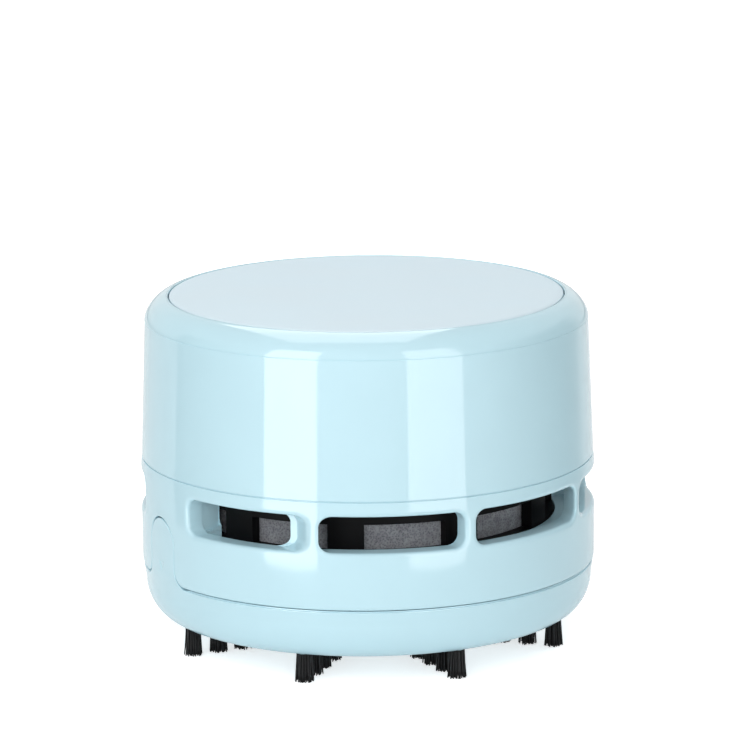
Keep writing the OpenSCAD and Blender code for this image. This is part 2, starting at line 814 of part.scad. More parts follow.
// Cell lying along X, its nub towards +X
module cell() {
    translate([-cell_len / 2 - nub_h / 2, 0, 0]) rotate([0, 90, 0]) {
        cylinder(h = cell_len - 0.5, r = cell_r);
        cylinder(h = cell_len, r = cell_r - 1);
        cylinder(h = cell_len + nub_h, r = 2.75, $fn = 48);
    }
}

module battery_1() {
    color([0.16, 0.17, 0.19]) translate([0, cell_y, cell_z]) mirror([1, 0, 0]) cell();
}

module battery_2() {
    color([0.16, 0.17, 0.19]) translate([0, -cell_y, cell_z]) cell();
}

// Contact plate on the +X wall at the given y
module contact_plate(y, width) {
    translate([contact_x, y - width / 2, cell_z - contact_h / 2]) cube([contact_t, width, contact_h]);
}

// Pressed boss that reaches a cell's nub
module contact_boss(y) {
    translate([nub_x, y, cell_z]) rotate([0, 90, 0]) cylinder(h = contact_x - nub_x + contact_t / 2, r = 2.4, $fn = 48);
}

module contact_link() {
    color(brass) {
        contact_plate(0, 2 * cell_y + contact_w);
        contact_boss(-cell_y);
    }
}

module contact_positive() {
    color(brass) mirror([1, 0, 0]) {
        contact_plate(cell_y, contact_w);
        contact_boss(cell_y);
    }
}

module contact_negative() {
    color(brass) mirror([1, 0, 0]) contact_plate(-cell_y, contact_w);
}

// Contact spring between a cell's flat end and its plate
module contact_spring() {
    translate([contact_x - spring_len, 0, cell_z]) rotate([0, 90, 0]) coil(3.2, 0.28, spring_len, 2);
}

module contact_spring_1() {
    color(steel) translate([0, cell_y, 0]) contact_spring();
}

module contact_spring_2() {
    color(steel) mirror([1, 0, 0]) translate([0, -cell_y, 0]) contact_spring();
}

// ---- Switch and wires ----

module switch_board() {
    color([0.13, 0.35, 0.20]) difference() {
        slab(board_x0, board_x0 + board_l, board_w, board_z, switch_z);
        for (side = [-1, 1]) translate([post_x, side * post_y, board_z - over]) cylinder(h = 4, r = pilot_r, $fn = 24);
        for (x = pin_x, y = pin_y) translate([x, y, board_z - over]) cylinder(h = 4, r = 0.5, $fn = 24);
    }
}

pin_x = [switch_x - 2.4, switch_x + 2.4];
pin_y = [-2.4, 2.4];

module board_screws() {
    color(steel) for (side = [-1, 1]) translate([post_x, side * post_y, switch_z]) pan_screw(5);
}

module switch_body() {
    color([0.92, 0.92, 0.90]) difference() {
        slab(switch_x - switch_w / 2, switch_x + switch_w / 2, switch_w, switch_z, switch_z + switch_h);
        translate([switch_x, 0, switch_z + 1]) cylinder(h = switch_h, r = plunger_r + running, $fn = 48);
    }
}

module switch_pins() {
    color(steel) for (x = pin_x, y = pin_y)
        translate([x, y, board_z - pin_h]) cylinder(h = pin_h + board_t, r = 0.45, $fn = 24);
}

module switch_plunger() {
    low = switch_z + 1 + button_travel + 0.3;
    color([0.92, 0.92, 0.90]) translate([switch_x, 0, low]) cylinder(h = plunger_top - low, r = plunger_r, $fn = 48);
}

// Height at which the wires run over the deck, and the lane beside the motor
lane_z = cell_z + cell_r + 1.2;
lane_y = motor_w / 2 + wire_r + 1.2;
tail_z = cell_z + contact_h / 2 + wire_r;
pin_end = board_z - pin_h - wire_r;

module wire_positive() {
    color("firebrick") wire([
        [-contact_x - contact_t / 2, cell_y - 3, tail_z], [-contact_x - contact_t / 2, cell_y - 3, lane_z],
        [-18, lane_y, lane_z], [12, lane_y, lane_z], [13.6, lane_y, board_z - 0.85],
        [pin_x[0] - 2, pin_y[1] + 1, pin_end], [pin_x[0], pin_y[1], pin_end]
    ]);
}

module wire_negative() {
    end_z = tag_z - wire_r;
    color([0.1, 0.1, 0.11]) wire([
        [-contact_x - contact_t / 2, 3 - cell_y, tail_z], [-contact_x - contact_t / 2, 3 - cell_y, lane_z - 2],
        [-20, -6, lane_z - 2], [-15, tag_y + tag_w / 2, end_z - 1], [-motor_d / 2 - 1.6, tag_y + tag_w / 2, end_z]
    ]);
}

module wire_motor() {
    end_z = tag_z - wire_r;
    color("firebrick") wire([
        [motor_d / 2 + 1.6, tag_y + tag_w / 2, end_z], [motor_d / 2 + 2.2, 3.4, end_z - 4],
        [pin_x[0] - 2, pin_y[0], pin_end], [pin_x[0], pin_y[0], pin_end]
    ]);
}

// ---- Upper shell and power button ----

module upper_shell() {
    under_r = crease_r - wall;
    color(shell_blue) difference() {
        union() {
            rotate_extrude() polygon(concat(
                [[0, well_under], [under_r, well_under], [foot_r - wall, up_z], [foot_r, up_z]],
                arc(well_r + lip, crease_z, crease_r - well_r - lip, shoulder_h, 0, 90, 8),
                [[well_r, top_z], [well_r, well_z], [0, well_z]]
            ));
            translate([0, 0, well_under]) cylinder(h = well_t + guide_h, r = stem_r + running + guide_t);
        }
        translate([0, 0, well_under - over]) cylinder(h = well_t + guide_h + 2 * over, r = stem_r + running);
        translate([switch_x, 0, well_under - over]) cylinder(h = well_t + 2 * over, r = 2.6, $fn = 48);
        for (turn = leg_turns) rotate([0, 0, turn])
            slab(leg_r - 1.2, leg_r + leg_t + 0.3, leg_w + 0.8, well_under - over, well_z + over);
    }
}

module power_button() {
    skirt_z = button_under - skirt_h;
    hook_top = well_under - 0.3;
    color(disc_blue) {
        translate([0, 0, button_under]) cylinder(h = button_t, r = button_r);
        ring(button_r - skirt_t, button_r, skirt_z, skirt_h + 0.2);
        translate([0, 0, stem_end]) cylinder(h = button_under - stem_end + 0.2, r = stem_r);
        translate([switch_x, 0, plunger_top + slit]) cylinder(h = button_under - plunger_top, r = 2, $fn = 48);
        for (turn = leg_turns) rotate([0, 0, turn]) {
            slab(leg_r, leg_r + leg_t, leg_w, hook_top - 1, button_under + 0.2);
            slab(leg_r, leg_r + leg_t + hook, leg_w, hook_top - 1, hook_top);
        }
    }
}

module button_spring() {
    color(steel) translate([0, 0, well_z]) coil(stem_r + running + guide_t + 1, 0.35, button_under - well_z, 3);
}

// ---- Assembly ----

base_cover();
release_tab_left();
release_tab_right();
brush_row(1);  // brush_row_1
brush_row(2);  // brush_row_2
brush_row(3);  // brush_row_3
brush_row(4);  // brush_row_4
brush_row(5);  // brush_row_5
brush_row(6);  // brush_row_6
brush_row(7);  // brush_row_7
brush_row(8);  // brush_row_8
lower_body();
fan_housing();
intake_plate();
exhaust_foam();
filter_frame();
dust_filter();
housing_screws();
impeller();
motor_shaft();
armature();
motor_can();
motor_magnets();
motor_end_cap();
motor_bushes();
motor_terminals();
motor_strap();
strap_screws();
battery_deck();
deck_screws();
battery_1();
battery_2();
contact_link();
contact_positive();
contact_negative();
contact_spring_1();
contact_spring_2();
switch_board();
board_screws();
switch_body();
switch_pins();
switch_plunger();
wire_positive();
wire_negative();
wire_motor();
upper_shell();
power_button();
button_spring();
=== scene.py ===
# %% [markdown]
# # A desktop mini vacuum cleaner
# This low round vacuum stands on eight rows of black bristles and sweeps crumbs off a desk.
# Its shells are pale blue glossy ABS, the flat disc on top is the power button, and the
# air leaves through eight long slots in the lower body. The construction comes packed as a
# fixed frame of named nodes. Each step below gives a piece its finish, or draws it again
# as a finer surface that stands in the same place.

# %% Load the frame
import bmesh
import bpy
import json
import numpy as np
from mathutils import Matrix

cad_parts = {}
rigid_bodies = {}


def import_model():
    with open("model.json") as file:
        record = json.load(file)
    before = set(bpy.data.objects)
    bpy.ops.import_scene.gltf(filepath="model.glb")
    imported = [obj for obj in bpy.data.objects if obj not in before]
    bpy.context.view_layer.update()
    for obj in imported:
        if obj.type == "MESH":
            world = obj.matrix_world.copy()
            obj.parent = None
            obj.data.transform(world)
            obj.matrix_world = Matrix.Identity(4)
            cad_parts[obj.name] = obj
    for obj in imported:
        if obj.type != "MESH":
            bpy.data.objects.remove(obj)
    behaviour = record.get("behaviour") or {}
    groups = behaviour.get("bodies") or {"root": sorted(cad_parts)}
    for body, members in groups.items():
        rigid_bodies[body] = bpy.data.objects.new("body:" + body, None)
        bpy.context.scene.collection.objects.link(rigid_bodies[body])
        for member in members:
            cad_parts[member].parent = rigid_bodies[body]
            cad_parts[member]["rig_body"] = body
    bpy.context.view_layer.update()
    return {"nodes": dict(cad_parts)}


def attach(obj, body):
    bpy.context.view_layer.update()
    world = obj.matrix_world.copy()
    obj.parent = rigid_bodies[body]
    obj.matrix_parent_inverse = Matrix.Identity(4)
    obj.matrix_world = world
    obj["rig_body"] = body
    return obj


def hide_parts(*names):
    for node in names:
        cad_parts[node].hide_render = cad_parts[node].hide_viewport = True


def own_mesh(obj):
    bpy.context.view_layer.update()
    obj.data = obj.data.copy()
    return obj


for left_over in list(bpy.data.objects):
    bpy.data.objects.remove(left_over)
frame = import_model()
MM = 0.001


def unit(v):
    """The vectors along the last axis, made one long."""
    return v / np.linalg.norm(v, axis=-1, keepdims=True)


def on_circle(a):
    """Points (cos a, sin a) of angles in radians."""
    return np.stack([np.cos(a), np.sin(a)], -1)


def put(name, data):
    """New object of this data, linked into the scene."""
    thing = bpy.data.objects.new(name, data)
    bpy.context.scene.collection.objects.link(thing)
    return thing


# %% [markdown]
# ## The camera
# The photograph was taken with a long lens from slightly above, so the round top is a thin
# ellipse and the sides stay upright. The place of the camera was worked out from the seams
# and slots, whose true circles are known. The picture leans by half a degree, and the
# camera leans with it.

# %% Camera
FRAME_PX = 738
LENS_PX = 4500.0
CAMERA_AT = np.array([-351.7, -722.0, 221.9]) * MM
VIEW_AZIMUTH, VIEW_PITCH, VIEW_LEAN = np.radians([-26.0, 12.13, 0.54])


def camera_axes(azimuth, pitch, lean):
    """Right, up and back: right = (cos a, sin a, 0), forward looks down by the pitch, up = right x forward. A lean
    turns right and up about the line of sight."""
    right = np.array([np.cos(azimuth), np.sin(azimuth), 0.0])
    forward = np.array([-np.sin(azimuth) * np.cos(pitch), np.cos(azimuth) * np.cos(pitch), -np.sin(pitch)])
    up = np.cross(right, forward)
    return right * np.cos(lean) - up * np.sin(lean), up * np.cos(lean) + right * np.sin(lean), -forward


camera_data = bpy.data.cameras.new("photo_camera")
camera_data.sensor_width = 36.0
camera_data.lens = LENS_PX / FRAME_PX * camera_data.sensor_width
camera_data.clip_start, camera_data.clip_end = 0.01, 20.0
camera = put("photo_camera", camera_data)
turn = np.eye(4)
turn[:3, :3] = np.stack(camera_axes(VIEW_AZIMUTH, VIEW_PITCH, VIEW_LEAN), axis=1)
turn[:3, 3] = CAMERA_AT
camera.matrix_world = Matrix(turn.tolist())
bpy.context.scene.camera = camera
print("lens in mm:", round(camera_data.lens, 1))

# %% [markdown]
# ## The studio
# A glossy round wall is mostly a mirror of the room, so the room is built first. The
# photograph shows two tall soft boxes as upright bands, one low overhead box as a crescent
# on the shoulder, a pale room all round and darker card at both sides. The boxes that are
# mirrored stand close to the object and are seen by glossy rays alone. Large dim lamps
# farther off light the colour itself, so the plastic keeps the tone that is written for it.

# %% Floor
scene = bpy.context.scene
scene.view_settings.view_transform = "Standard"


def direction(offset):
    """Unit vector (sin a, -cos a, 0) on the floor, offset degrees to the right of the camera as it sees it."""
    a = VIEW_AZIMUTH + np.radians(offset)
    return np.array([np.sin(a), -np.cos(a), 0.0])


def plain_mesh(name, corners, faces):
    """Object of the given corners, in metres, and faces."""
    mesh = bpy.data.meshes.new(name)
    mesh.from_pydata(corners, [], faces)
    return put(name, mesh)


FLOOR_HALF, FLOOR_LIFT, FLOOR_GLOW = 6.0, 0.45, 0.18
floor_corners = [(x * FLOOR_HALF, y * FLOOR_HALF, 0) for x, y in ((-1, -1), (1, -1), (1, 1), (-1, 1))]
floor = plain_mesh("floor", floor_corners, [(0, 1, 2, 3)])


def seen_directly(tree):
    """1 for rays that only look at the background: from the camera, a mirror or through glass."""
    path = tree.nodes.new("ShaderNodeLightPath")
    result = path.outputs["Is Camera Ray"]
    for ray in ("Is Glossy Ray", "Is Transmission Ray"):
        either = tree.nodes.new("ShaderNodeMath")
        either.operation = "MAXIMUM"
        tree.links.new(result, either.inputs[0])
        tree.links.new(path.outputs[ray], either.inputs[1])
        result = either.outputs[0]
    return result


def floor_finish():
    """Matt white card whose lit part is lifted to clear white for the eye, and keeps the shadow."""
    finish = bpy.data.materials.new("white_card")
    finish.use_nodes = True
    tree = finish.node_tree
    card = tree.nodes["Principled BSDF"]
    card.inputs["Base Color"].default_value = (0.86, 0.86, 0.86, 1)
    card.inputs["Roughness"].default_value = 0.9
    card.inputs["Specular IOR Level"].default_value = 0.0
    card.inputs["Emission Color"].default_value = (1, 1, 1, 1)
    lift = tree.nodes.new("ShaderNodeMath")
    lift.operation = "MULTIPLY_ADD"
    lift.inputs[1].default_value = FLOOR_LIFT
    lift.inputs[2].default_value = FLOOR_GLOW
    path = tree.nodes.new("ShaderNodeLightPath")
    tree.links.new(path.outputs["Is Camera Ray"], lift.inputs[0])
    tree.links.new(lift.outputs[0], card.inputs["Emission Strength"])
    return finish


floor.data.materials.append(floor_finish())
print("floor:", 2 * FLOOR_HALF, "m square")

# %% Room
room = bpy.data.worlds.new("pale_room")
scene.world = room
room.use_nodes = True
room_tree = room.node_tree
fill = room_tree.nodes["Background"]
fill.inputs["Color"].default_value = (0.98, 0.99, 1.0, 1)
fill.inputs["Strength"].default_value = 0.24
seen = room_tree.nodes.new("ShaderNodeBackground")
seen.inputs["Color"].default_value = (1, 1, 1, 1)
seen.inputs["Strength"].default_value = 1.0
choose = room_tree.nodes.new("ShaderNodeMixShader")
room_tree.links.new(seen_directly(room_tree), choose.inputs[0])
room_tree.links.new(fill.outputs[0], choose.inputs[1])
room_tree.links.new(seen.outputs[0], choose.inputs[2])
room_tree.links.new(choose.outputs[0], room_tree.nodes["World Output"].inputs["Surface"])
print("room fill:", fill.inputs["Strength"].default_value)

# %% Lamps


def lamp(name, place, aim, width, height, radiance, mirrored=False):
    """Area lamp at place (mm) that faces aim. Its power is pi * area * radiance, so radiance 1 looks white. A mirrored
    one only shows in reflections, and the others only light."""
    data = bpy.data.lights.new(name, "AREA")
    data.shape = "RECTANGLE"
    data.size, data.size_y = width * MM, height * MM
    data.energy = np.pi * data.size * data.size_y * radiance
    thing = put(name, data)
    back = unit(place - np.array(aim, float))
    side = np.cross([0.0, 0.0, 1.0], back)
    side = unit(side) if np.linalg.norm(side) > 1e-6 else direction(90)
    pose = np.eye(4)
    pose[:3, :3] = np.stack([side, np.cross(back, side), back], axis=1)
    pose[:3, 3] = place * MM
    thing.matrix_world = Matrix(pose.tolist())
    thing.visible_camera = False
    thing.visible_glossy = thing.visible_transmission = mirrored
    thing.visible_diffuse = not mirrored


def stand(offset, distance, height):
    """Place of a stand on the floor, offset degrees to the right of the camera, and a height above it, in mm."""
    return direction(offset) * distance + [0, 0, height]


BOX_R, BOX_LEFT, BOX_RIGHT = 122, 138, 146
OVERHEAD = direction(90) * -33 + direction(0) * -125 + [0, 0, 333]
for name, offset, width, tall, radiance in (("soft_box_left", -32.9, 51, BOX_LEFT, 4.8),
                                            ("soft_box_right", 29.3, 54, BOX_RIGHT, 3.0)):
    lamp(name, stand(offset, BOX_R, tall / 2), [0, 0, tall / 2], width, tall, radiance, mirrored=True)
lamp("overhead_box", OVERHEAD, OVERHEAD - [0, 0, 1], 200, 400, 2.6, mirrored=True)
for name, place, aim_z, width, height, radiance in (
        ("front_left_lamp", stand(-38, 900, 600), 30, 700, 700, 1.86),
        ("front_right_lamp", stand(0, 900, 540), 30, 700, 700, 2.12),
        ("low_lamp", stand(4, 900, 160), 20, 700, 300, 1.8),
        ("top_lamp", stand(0, 0, 1100), 0, 900, 900, 1.3),
        ("back_left_lamp", stand(-145, 1000, 600), 30, 700, 700, 1.9),
        ("back_right_lamp", stand(138, 1000, 600), 30, 700, 700, 2.1)):
    lamp(name, place, [0, 0, aim_z], width, height, radiance)

# %% Dark cards
CARD_R, CARD_TALL, CARD_LIFT, CARD_STEPS = 130, 110, 0.5, 48


def dark_card(name, turns, tones):
    """Card on an arc that only mirrors show, at turns in degrees that grow away from the camera on one side. Its
    tone, from 0 black to 1 white, runs from one value to the next along the arc, and dims the sides of a glossy wall
    as a dark corner of the room does."""
    even = np.linspace(turns[0], turns[-1], CARD_STEPS + 1)
    low = np.stack([stand(t, CARD_R, CARD_LIFT) for t in even])
    corners = np.concatenate([low, low + [0, 0, CARD_TALL]]) * MM
    faces = [(k, k + 1, k + CARD_STEPS + 2, k + CARD_STEPS + 1) for k in range(CARD_STEPS)]
    card = plain_mesh(name, corners.tolist(), faces)
    tone = np.interp(np.abs(even), np.abs(turns), tones)
    tone_of = card.data.attributes.new("tone", "FLOAT", "POINT")
    tone_of.data.foreach_set("value", np.tile(tone, 2).astype(np.float32))
    finish = bpy.data.materials.new(name)
    finish.use_nodes = True
    shade = finish.node_tree.nodes["Principled BSDF"]
    shade.inputs["Base Color"].default_value = (0, 0, 0, 1)
    shade.inputs["Specular IOR Level"].default_value = 0.0
    shade.inputs["Emission Color"].default_value = (1, 1, 1, 1)
    painted = finish.node_tree.nodes.new("ShaderNodeAttribute")
    painted.attribute_name = "tone"
    finish.node_tree.links.new(painted.outputs["Fac"], shade.inputs["Emission Strength"])
    card.data.materials.append(finish)
    card.visible_camera = card.visible_diffuse = card.visible_shadow = False


dark_card("dark_card_left", [-50, -64, -82, -97, -98.5], [1.0, 0.75, 0.4, 0.25, 0.3])
dark_card("dark_card_right", [50, 66, 82, 93, 106, 117, 126], [1.0, 0.6, 0.3, 0.15, 0.2, 0.5, 0.95])
print("dark cards stand", CARD_R, "mm off")

# %% [markdown]
# ## Helpers for surfaces
# Every new piece is a surface worked out with numpy. A grid of points goes in as whole
# arrays, its cells become four-sided faces, and doubles on seams and poles are merged.
# Lengths are written in millimetres, as on a drawing, and turned into metres once, here.

# %% Grid and mesh helpers


def about_z(r, a, z):
    """Points (r cos a, r sin a, z) with the angle a in radians, of arrays or numbers that fit together."""
    return np.stack(np.broadcast_arrays(r * np.cos(a), r * np.sin(a), z), -1)


def read_all(rows, key, width=3, kind=float):
    """One property of all vertices, corners or faces of a mesh, as rows of width numbers."""
    values = np.empty(len(rows) * width, kind)
    rows.foreach_get(key, values)
    return values.reshape(-1, width) if width > 1 else values


def cells(rows, columns, ring):
    """Faces of a grid: corner numbers row * columns + column. A ring joins the last column to the first."""
    row = np.arange(rows - 1)[:, None]
    column = np.arange(columns if ring else columns - 1)[None, :]
    beside = (column + 1) % columns
    low, high = row * columns, (row + 1) * columns
    return np.stack([low + column, low + beside, high + beside, high + column], -1).reshape(-1, 4)


def patch(grid, ring=False, flip=False):
    """Points and faces of a grid of points, shaped rows x columns x 3."""
    faces = cells(grid.shape[0], grid.shape[1], ring)
    return grid.reshape(-1, 3), faces[:, ::-1] if flip else faces


def raw_mesh(name, patches):
    """Mesh of several patches in metres; the point numbers of each follow those before."""
    points, faces, first = [], [], 0
    for some_points, some_faces in patches:
        points.append(some_points)
        faces.extend((some_faces + first).tolist())
        first += len(some_points)
    mesh = bpy.data.meshes.new(name)
    mesh.from_pydata((np.concatenate(points) * MM).tolist(), [], faces)
    return mesh


def build(name, patches, finish, kept=None, sharp=32):
    """One object from new patches, whose doubles closer than 2 micrometres become one point, and from kept triangles
    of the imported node, which stay as they are. Edges steeper than sharp degrees stay sharp."""
    mesh = raw_mesh(name, patches)
    work = bmesh.new()
    work.from_mesh(mesh)
    bmesh.ops.remove_doubles(work, verts=work.verts, dist=2e-6)
    bmesh.ops.dissolve_degenerate(work, dist=1e-7, edges=work.edges)
    if kept is not None:
        kept_mesh = raw_mesh("kept", [kept])
        work.from_mesh(kept_mesh)
        bpy.data.meshes.remove(kept_mesh)
        bmesh.ops.delete(work, geom=[v for v in work.verts if not v.link_faces], context="VERTS")
    work.to_mesh(mesh)
    work.free()
    mesh.shade_smooth()
    mesh.set_sharp_from_angle(angle=np.radians(sharp))
    mesh.materials.append(finish)
    return put(name, mesh)


def take_place(piece, node):
    """The piece stands for a node and rides on the node's own body."""
    body = frame["nodes"][node]["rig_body"]
    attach(piece, body)
    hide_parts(node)
    print(f"{piece.name}: {len(piece.data.vertices)} points, {len(piece.data.polygons)} faces, on {body}")


def arc_between(start, corner, end, steps):
    """Round arc that touches corner-start at start and corner-end at end: both lie as far from the corner."""
    u, v = start - corner, end - corner
    turn_angle = np.pi - np.arccos(np.clip(u @ v / (np.linalg.norm(u) * np.linalg.norm(v)), -1, 1))
    if turn_angle < 1e-3:
        return np.stack([start, end])
    centre = corner + unit(u + v) * np.linalg.norm(u) / np.cos(np.pi / 2 - turn_angle / 2)
    s = np.linspace(0, 1, steps + 1)[:, None]
    from_start = np.sin((1 - s) * turn_angle) * (start - centre)
    from_end = np.sin(s * turn_angle) * (end - centre)
    return centre + (from_start + from_end) / np.sin(turn_angle)


def rounded(corners, radii, steps=5, guard=0.06):
    """A line of corners whose corner k is an arc of radius radii[k]: it starts r / tan(angle / 2) before the corner.
    A guard point beside each arc keeps the shine of the flat wall flat up to there."""
    corners = np.asarray(corners, float)
    line = [corners[:1]]
    for before, corner, after, r in zip(corners[:-2], corners[1:-1], corners[2:], radii):
        if r <= 0:
            line.append(corner[None])
            continue
        u, v = unit(before - corner), unit(after - corner)
        reach = r / np.tan(np.arccos(np.clip(u @ v, -1, 1)) / 2)
        line.append((corner + u * (reach + guard))[None])
        line.append(arc_between(corner + u * reach, corner, corner + v * reach, steps))
        line.append((corner + v * (reach + guard))[None])
    line.append(corners[-1:])
    return np.concatenate(line)


def run_of(line):
    """Length of a line of points from its start to each of them."""
    return np.concatenate([[0], np.cumsum(np.linalg.norm(np.diff(line, axis=0), axis=1))])


TURNS = 256


def lathe(profile, flip=False):
    """Profile (r, z) carried once round Z: x = r cos a, y = r sin a."""
    a = np.arange(TURNS) * 2 * np.pi / TURNS
    r, z = np.asarray(profile, float).T[..., None]
    return patch(about_z(r, a, z), ring=True, flip=flip)


def node_triangles(node):
    """Merged copy of a node's triangles in mm: points within 1 micrometre become one."""
    mesh = frame["nodes"][node].data
    points = read_all(mesh.vertices, "co") / MM
    mesh.calc_loop_triangles()
    corners = read_all(mesh.loop_triangles, "vertices", kind=np.int32)
    micrometres = np.round(points * 1000).astype(np.int64)
    _, first, number = np.unique(micrometres, axis=0, return_index=True, return_inverse=True)
    triangles = number.reshape(-1)[corners]
    a, b, c = triangles.T
    return points[first], triangles[(a != b) & (b != c) & (c != a)]


def off_profile(points, profile):
    """Distance in the (r, z) plane from each point to the nearest side of a profile: the nearest spot of a side is
    its start plus a share of its run, clipped to 0..1."""
    r_z = np.stack([np.hypot(points[:, 0], points[:, 1]), points[:, 2]], -1)[:, None]
    start, run = profile[:-1][None], np.diff(profile, axis=0)[None]
    share = np.clip(((r_z - start) * run).sum(-1) / np.maximum((run ** 2).sum(-1), 1e-12), 0, 1)
    return np.linalg.norm(r_z - start - share[..., None] * run, axis=-1).min(1)


def kept_inside(node, profile, near=0.06):
    """A node's triangles without those that lie on the profile's skin, which is drawn again."""
    points, triangles = node_triangles(node)
    on_skin = off_profile(points, profile) < near
    middle = off_profile(points[triangles].mean(1), profile) < near + 0.05
    return points, triangles[~(on_skin[triangles].all(1) & middle)]


print("grid helpers ready, turns:", TURNS)

# %% [markdown]
# ## Finishes
# A finish is a Principled shader in its own material. Effects that many finishes share, such
# as the faint unevenness of moulded plastic, are node groups that give out numbers only,
# and the material mixes them into its colour, roughness and bump.

# %% Node group helpers


def new_group(name, inputs, outputs):
    """Empty shader node group with named number, vector or colour sockets."""
    group = bpy.data.node_groups.new(name, "ShaderNodeTree")
    for socket, kind, value in inputs:
        made = group.interface.new_socket(name=socket, in_out="INPUT",
                                          socket_type="NodeSocket" + kind)
        if value is not None:
            made.default_value = value
    for socket, kind in outputs:
        group.interface.new_socket(name=socket, in_out="OUTPUT", socket_type="NodeSocket" + kind)
    return group, group.nodes.new("NodeGroupInput"), group.nodes.new("NodeGroupOutput")


def add(tree, kind, links, **settings):
    """Adds a node to a tree; links maps an input to the output that feeds it, or to a plain value."""
    node = tree.nodes.new("ShaderNode" + kind)
    for key, value in settings.items():
        setattr(node, key, value)
    for key, source in links.items():
        if isinstance(source, bpy.types.NodeSocket):
            tree.links.new(source, node.inputs[key])
        else:
            node.inputs[key].default_value = source
    return node


def to_mm(group, given):
    """The group's coordinates in millimetres, so that noise scales count waves to the millimetre."""
    return add(group, "VectorMath", {0: given.outputs["Vector"], "Scale": 1000.0}, operation="SCALE").outputs[0]


def one_over(group, given, size):
    """Noise scale whose waves are as long as the named input."""
    return add(group, "Math", {0: 1.0, 1: given.outputs[size]}, operation="DIVIDE").outputs[0]


def give_out(group, out, **results):
    """Links the results to the group's outputs of the same names."""
    for name, source in results.items():
        group.links.new(source, out.inputs[name])
    return group


def make_moulded():
    """Moulded skin: slow waves of the wall, a fine orange peel, and soft shade patches, all from noise on Object
    coordinates."""
    group, given, out = new_group(
        "moulded_skin", [("Vector", "Vector", None), ("Wave mm", "Float", 9.0), ("Peel mm", "Float", 0.6)],
        [("Height", "Float"), ("Shade", "Float"), ("Rough", "Float")])
    in_mm = to_mm(group, given)
    wave = add(group, "TexNoise", {"Vector": in_mm, "Scale": one_over(group, given, "Wave mm"), "Detail": 1.0})
    peel = add(group, "TexNoise", {"Vector": in_mm, "Scale": one_over(group, given, "Peel mm"), "Detail": 2.0})
    patches = add(group, "TexNoise", {"Vector": in_mm, "Scale": 0.06, "Detail": 3.0})
    low = add(group, "Math", {0: wave.outputs["Fac"], 1: 0.75}, operation="MULTIPLY")
    height = add(group, "Math", {0: peel.outputs["Fac"], 1: 0.25, 2: low.outputs[0]}, operation="MULTIPLY_ADD")
    rough = add(group, "MapRange", {"Value": patches.outputs["Fac"], "From Min": 0.3, "From Max": 0.7})
    return give_out(group, out, Height=height.outputs[0], Shade=patches.outputs["Fac"], Rough=rough.outputs[0])


def make_marks():
    """Rub marks: thin, long scratches where a stretched noise crosses one level, thinned out by a second, slow
    noise."""
    group, given, out = new_group(
        "rub_marks", [("Vector", "Vector", None), ("Amount", "Float", 0.5)], [("Mask", "Float")])
    in_mm = to_mm(group, given)
    leaned = add(group, "Mapping", {"Vector": in_mm, "Rotation": (0.5, 0.3, 0.9), "Scale": (2.2, 0.07, 0.9)})
    long_noise = add(group, "TexNoise", {"Vector": leaned.outputs[0], "Scale": 1.0, "Detail": 2.0})
    off_level = add(group, "Math", {0: long_noise.outputs["Fac"], 1: 0.5}, operation="SUBTRACT")
    width = add(group, "Math", {0: off_level.outputs[0]}, operation="ABSOLUTE")
    line = add(group, "MapRange", {"Value": width.outputs[0], "From Max": 0.006, "To Min": 1.0, "To Max": 0.0})
    where = add(group, "TexNoise", {"Vector": in_mm, "Scale": 0.12, "Detail": 1.0})
    few = add(group, "MapRange", {"Value": where.outputs["Fac"], "From Min": 0.52, "From Max": 0.62})
    both = add(group, "Math", {0: line.outputs[0], 1: few.outputs[0]}, operation="MULTIPLY")
    amount = add(group, "Math", {0: both.outputs[0], 1: given.outputs["Amount"]}, operation="MULTIPLY")
    return give_out(group, out, Mask=amount.outputs[0])


moulded_group = make_moulded()
marks_group = make_marks()
print("groups:", [g.name for g in bpy.data.node_groups])

# %% Plastic finishes


def new_finish(name):
    """Material with its Principled shader, its Object coordinates and its tree."""
    finish = bpy.data.materials.new(name)
    finish.use_nodes = True
    tree = finish.node_tree
    coordinates = tree.nodes.new("ShaderNodeTexCoord")
    return finish, tree, tree.nodes["Principled BSDF"], coordinates.outputs["Object"]


def use_group(tree, group, **values):
    """Node of a shared group; an underscore stands for the space in an input's name."""
    return add(tree, "Group", {key.replace("_", " "): value for key, value in values.items()}, node_tree=group)


def between(tree, fac, low, high):
    """Colour between two written ones. A Mix node of colours takes them in at sockets 6 and 7, and gives out at 2."""
    return add(tree, "Mix", {0: fac, 6: (*low, 1), 7: (*high, 1)}, data_type="RGBA").outputs[2]


def bump(tree, shader, height, strength, reach):
    """Bump of the given reach in mm."""
    node = add(tree, "Bump", {"Height": height, "Strength": strength, "Distance": reach * MM})
    tree.links.new(node.outputs["Normal"], shader.inputs["Normal"])


def plastic(name, colour, rough, spread=0.04, shade=0.035, peel=0.6, wave=9.0, depth=0.004, marks=0.15, coat=0.0):
    """Moulded plastic: its colour uneven by shade, its roughness by spread, and bump from the moulded skin. Rub marks
    make it rougher."""
    finish, tree, shader, where = new_finish(name)
    skin = use_group(tree, moulded_group, Vector=where, Wave_mm=wave, Peel_mm=peel)
    rubbed = use_group(tree, marks_group, Vector=where, Amount=marks)
    dark, light = np.array(colour) * (1 - shade), np.array(colour) * (1 + shade)
    tree.links.new(between(tree, skin.outputs["Shade"], dark, light), shader.inputs["Base Color"])
    gloss = add(tree, "MapRange", {"Value": skin.outputs["Rough"], "To Min": rough - spread, "To Max": rough + spread})
    scuffed = add(tree, "Math", {0: rubbed.outputs["Mask"], 1: 0.5, 2: gloss.outputs[0]}, operation="MULTIPLY_ADD")
    tree.links.new(scuffed.outputs[0], shader.inputs["Roughness"])
    bump(tree, shader, skin.outputs["Height"], 1.0, depth)
    shader.inputs["Coat Weight"].default_value = coat
    return finish


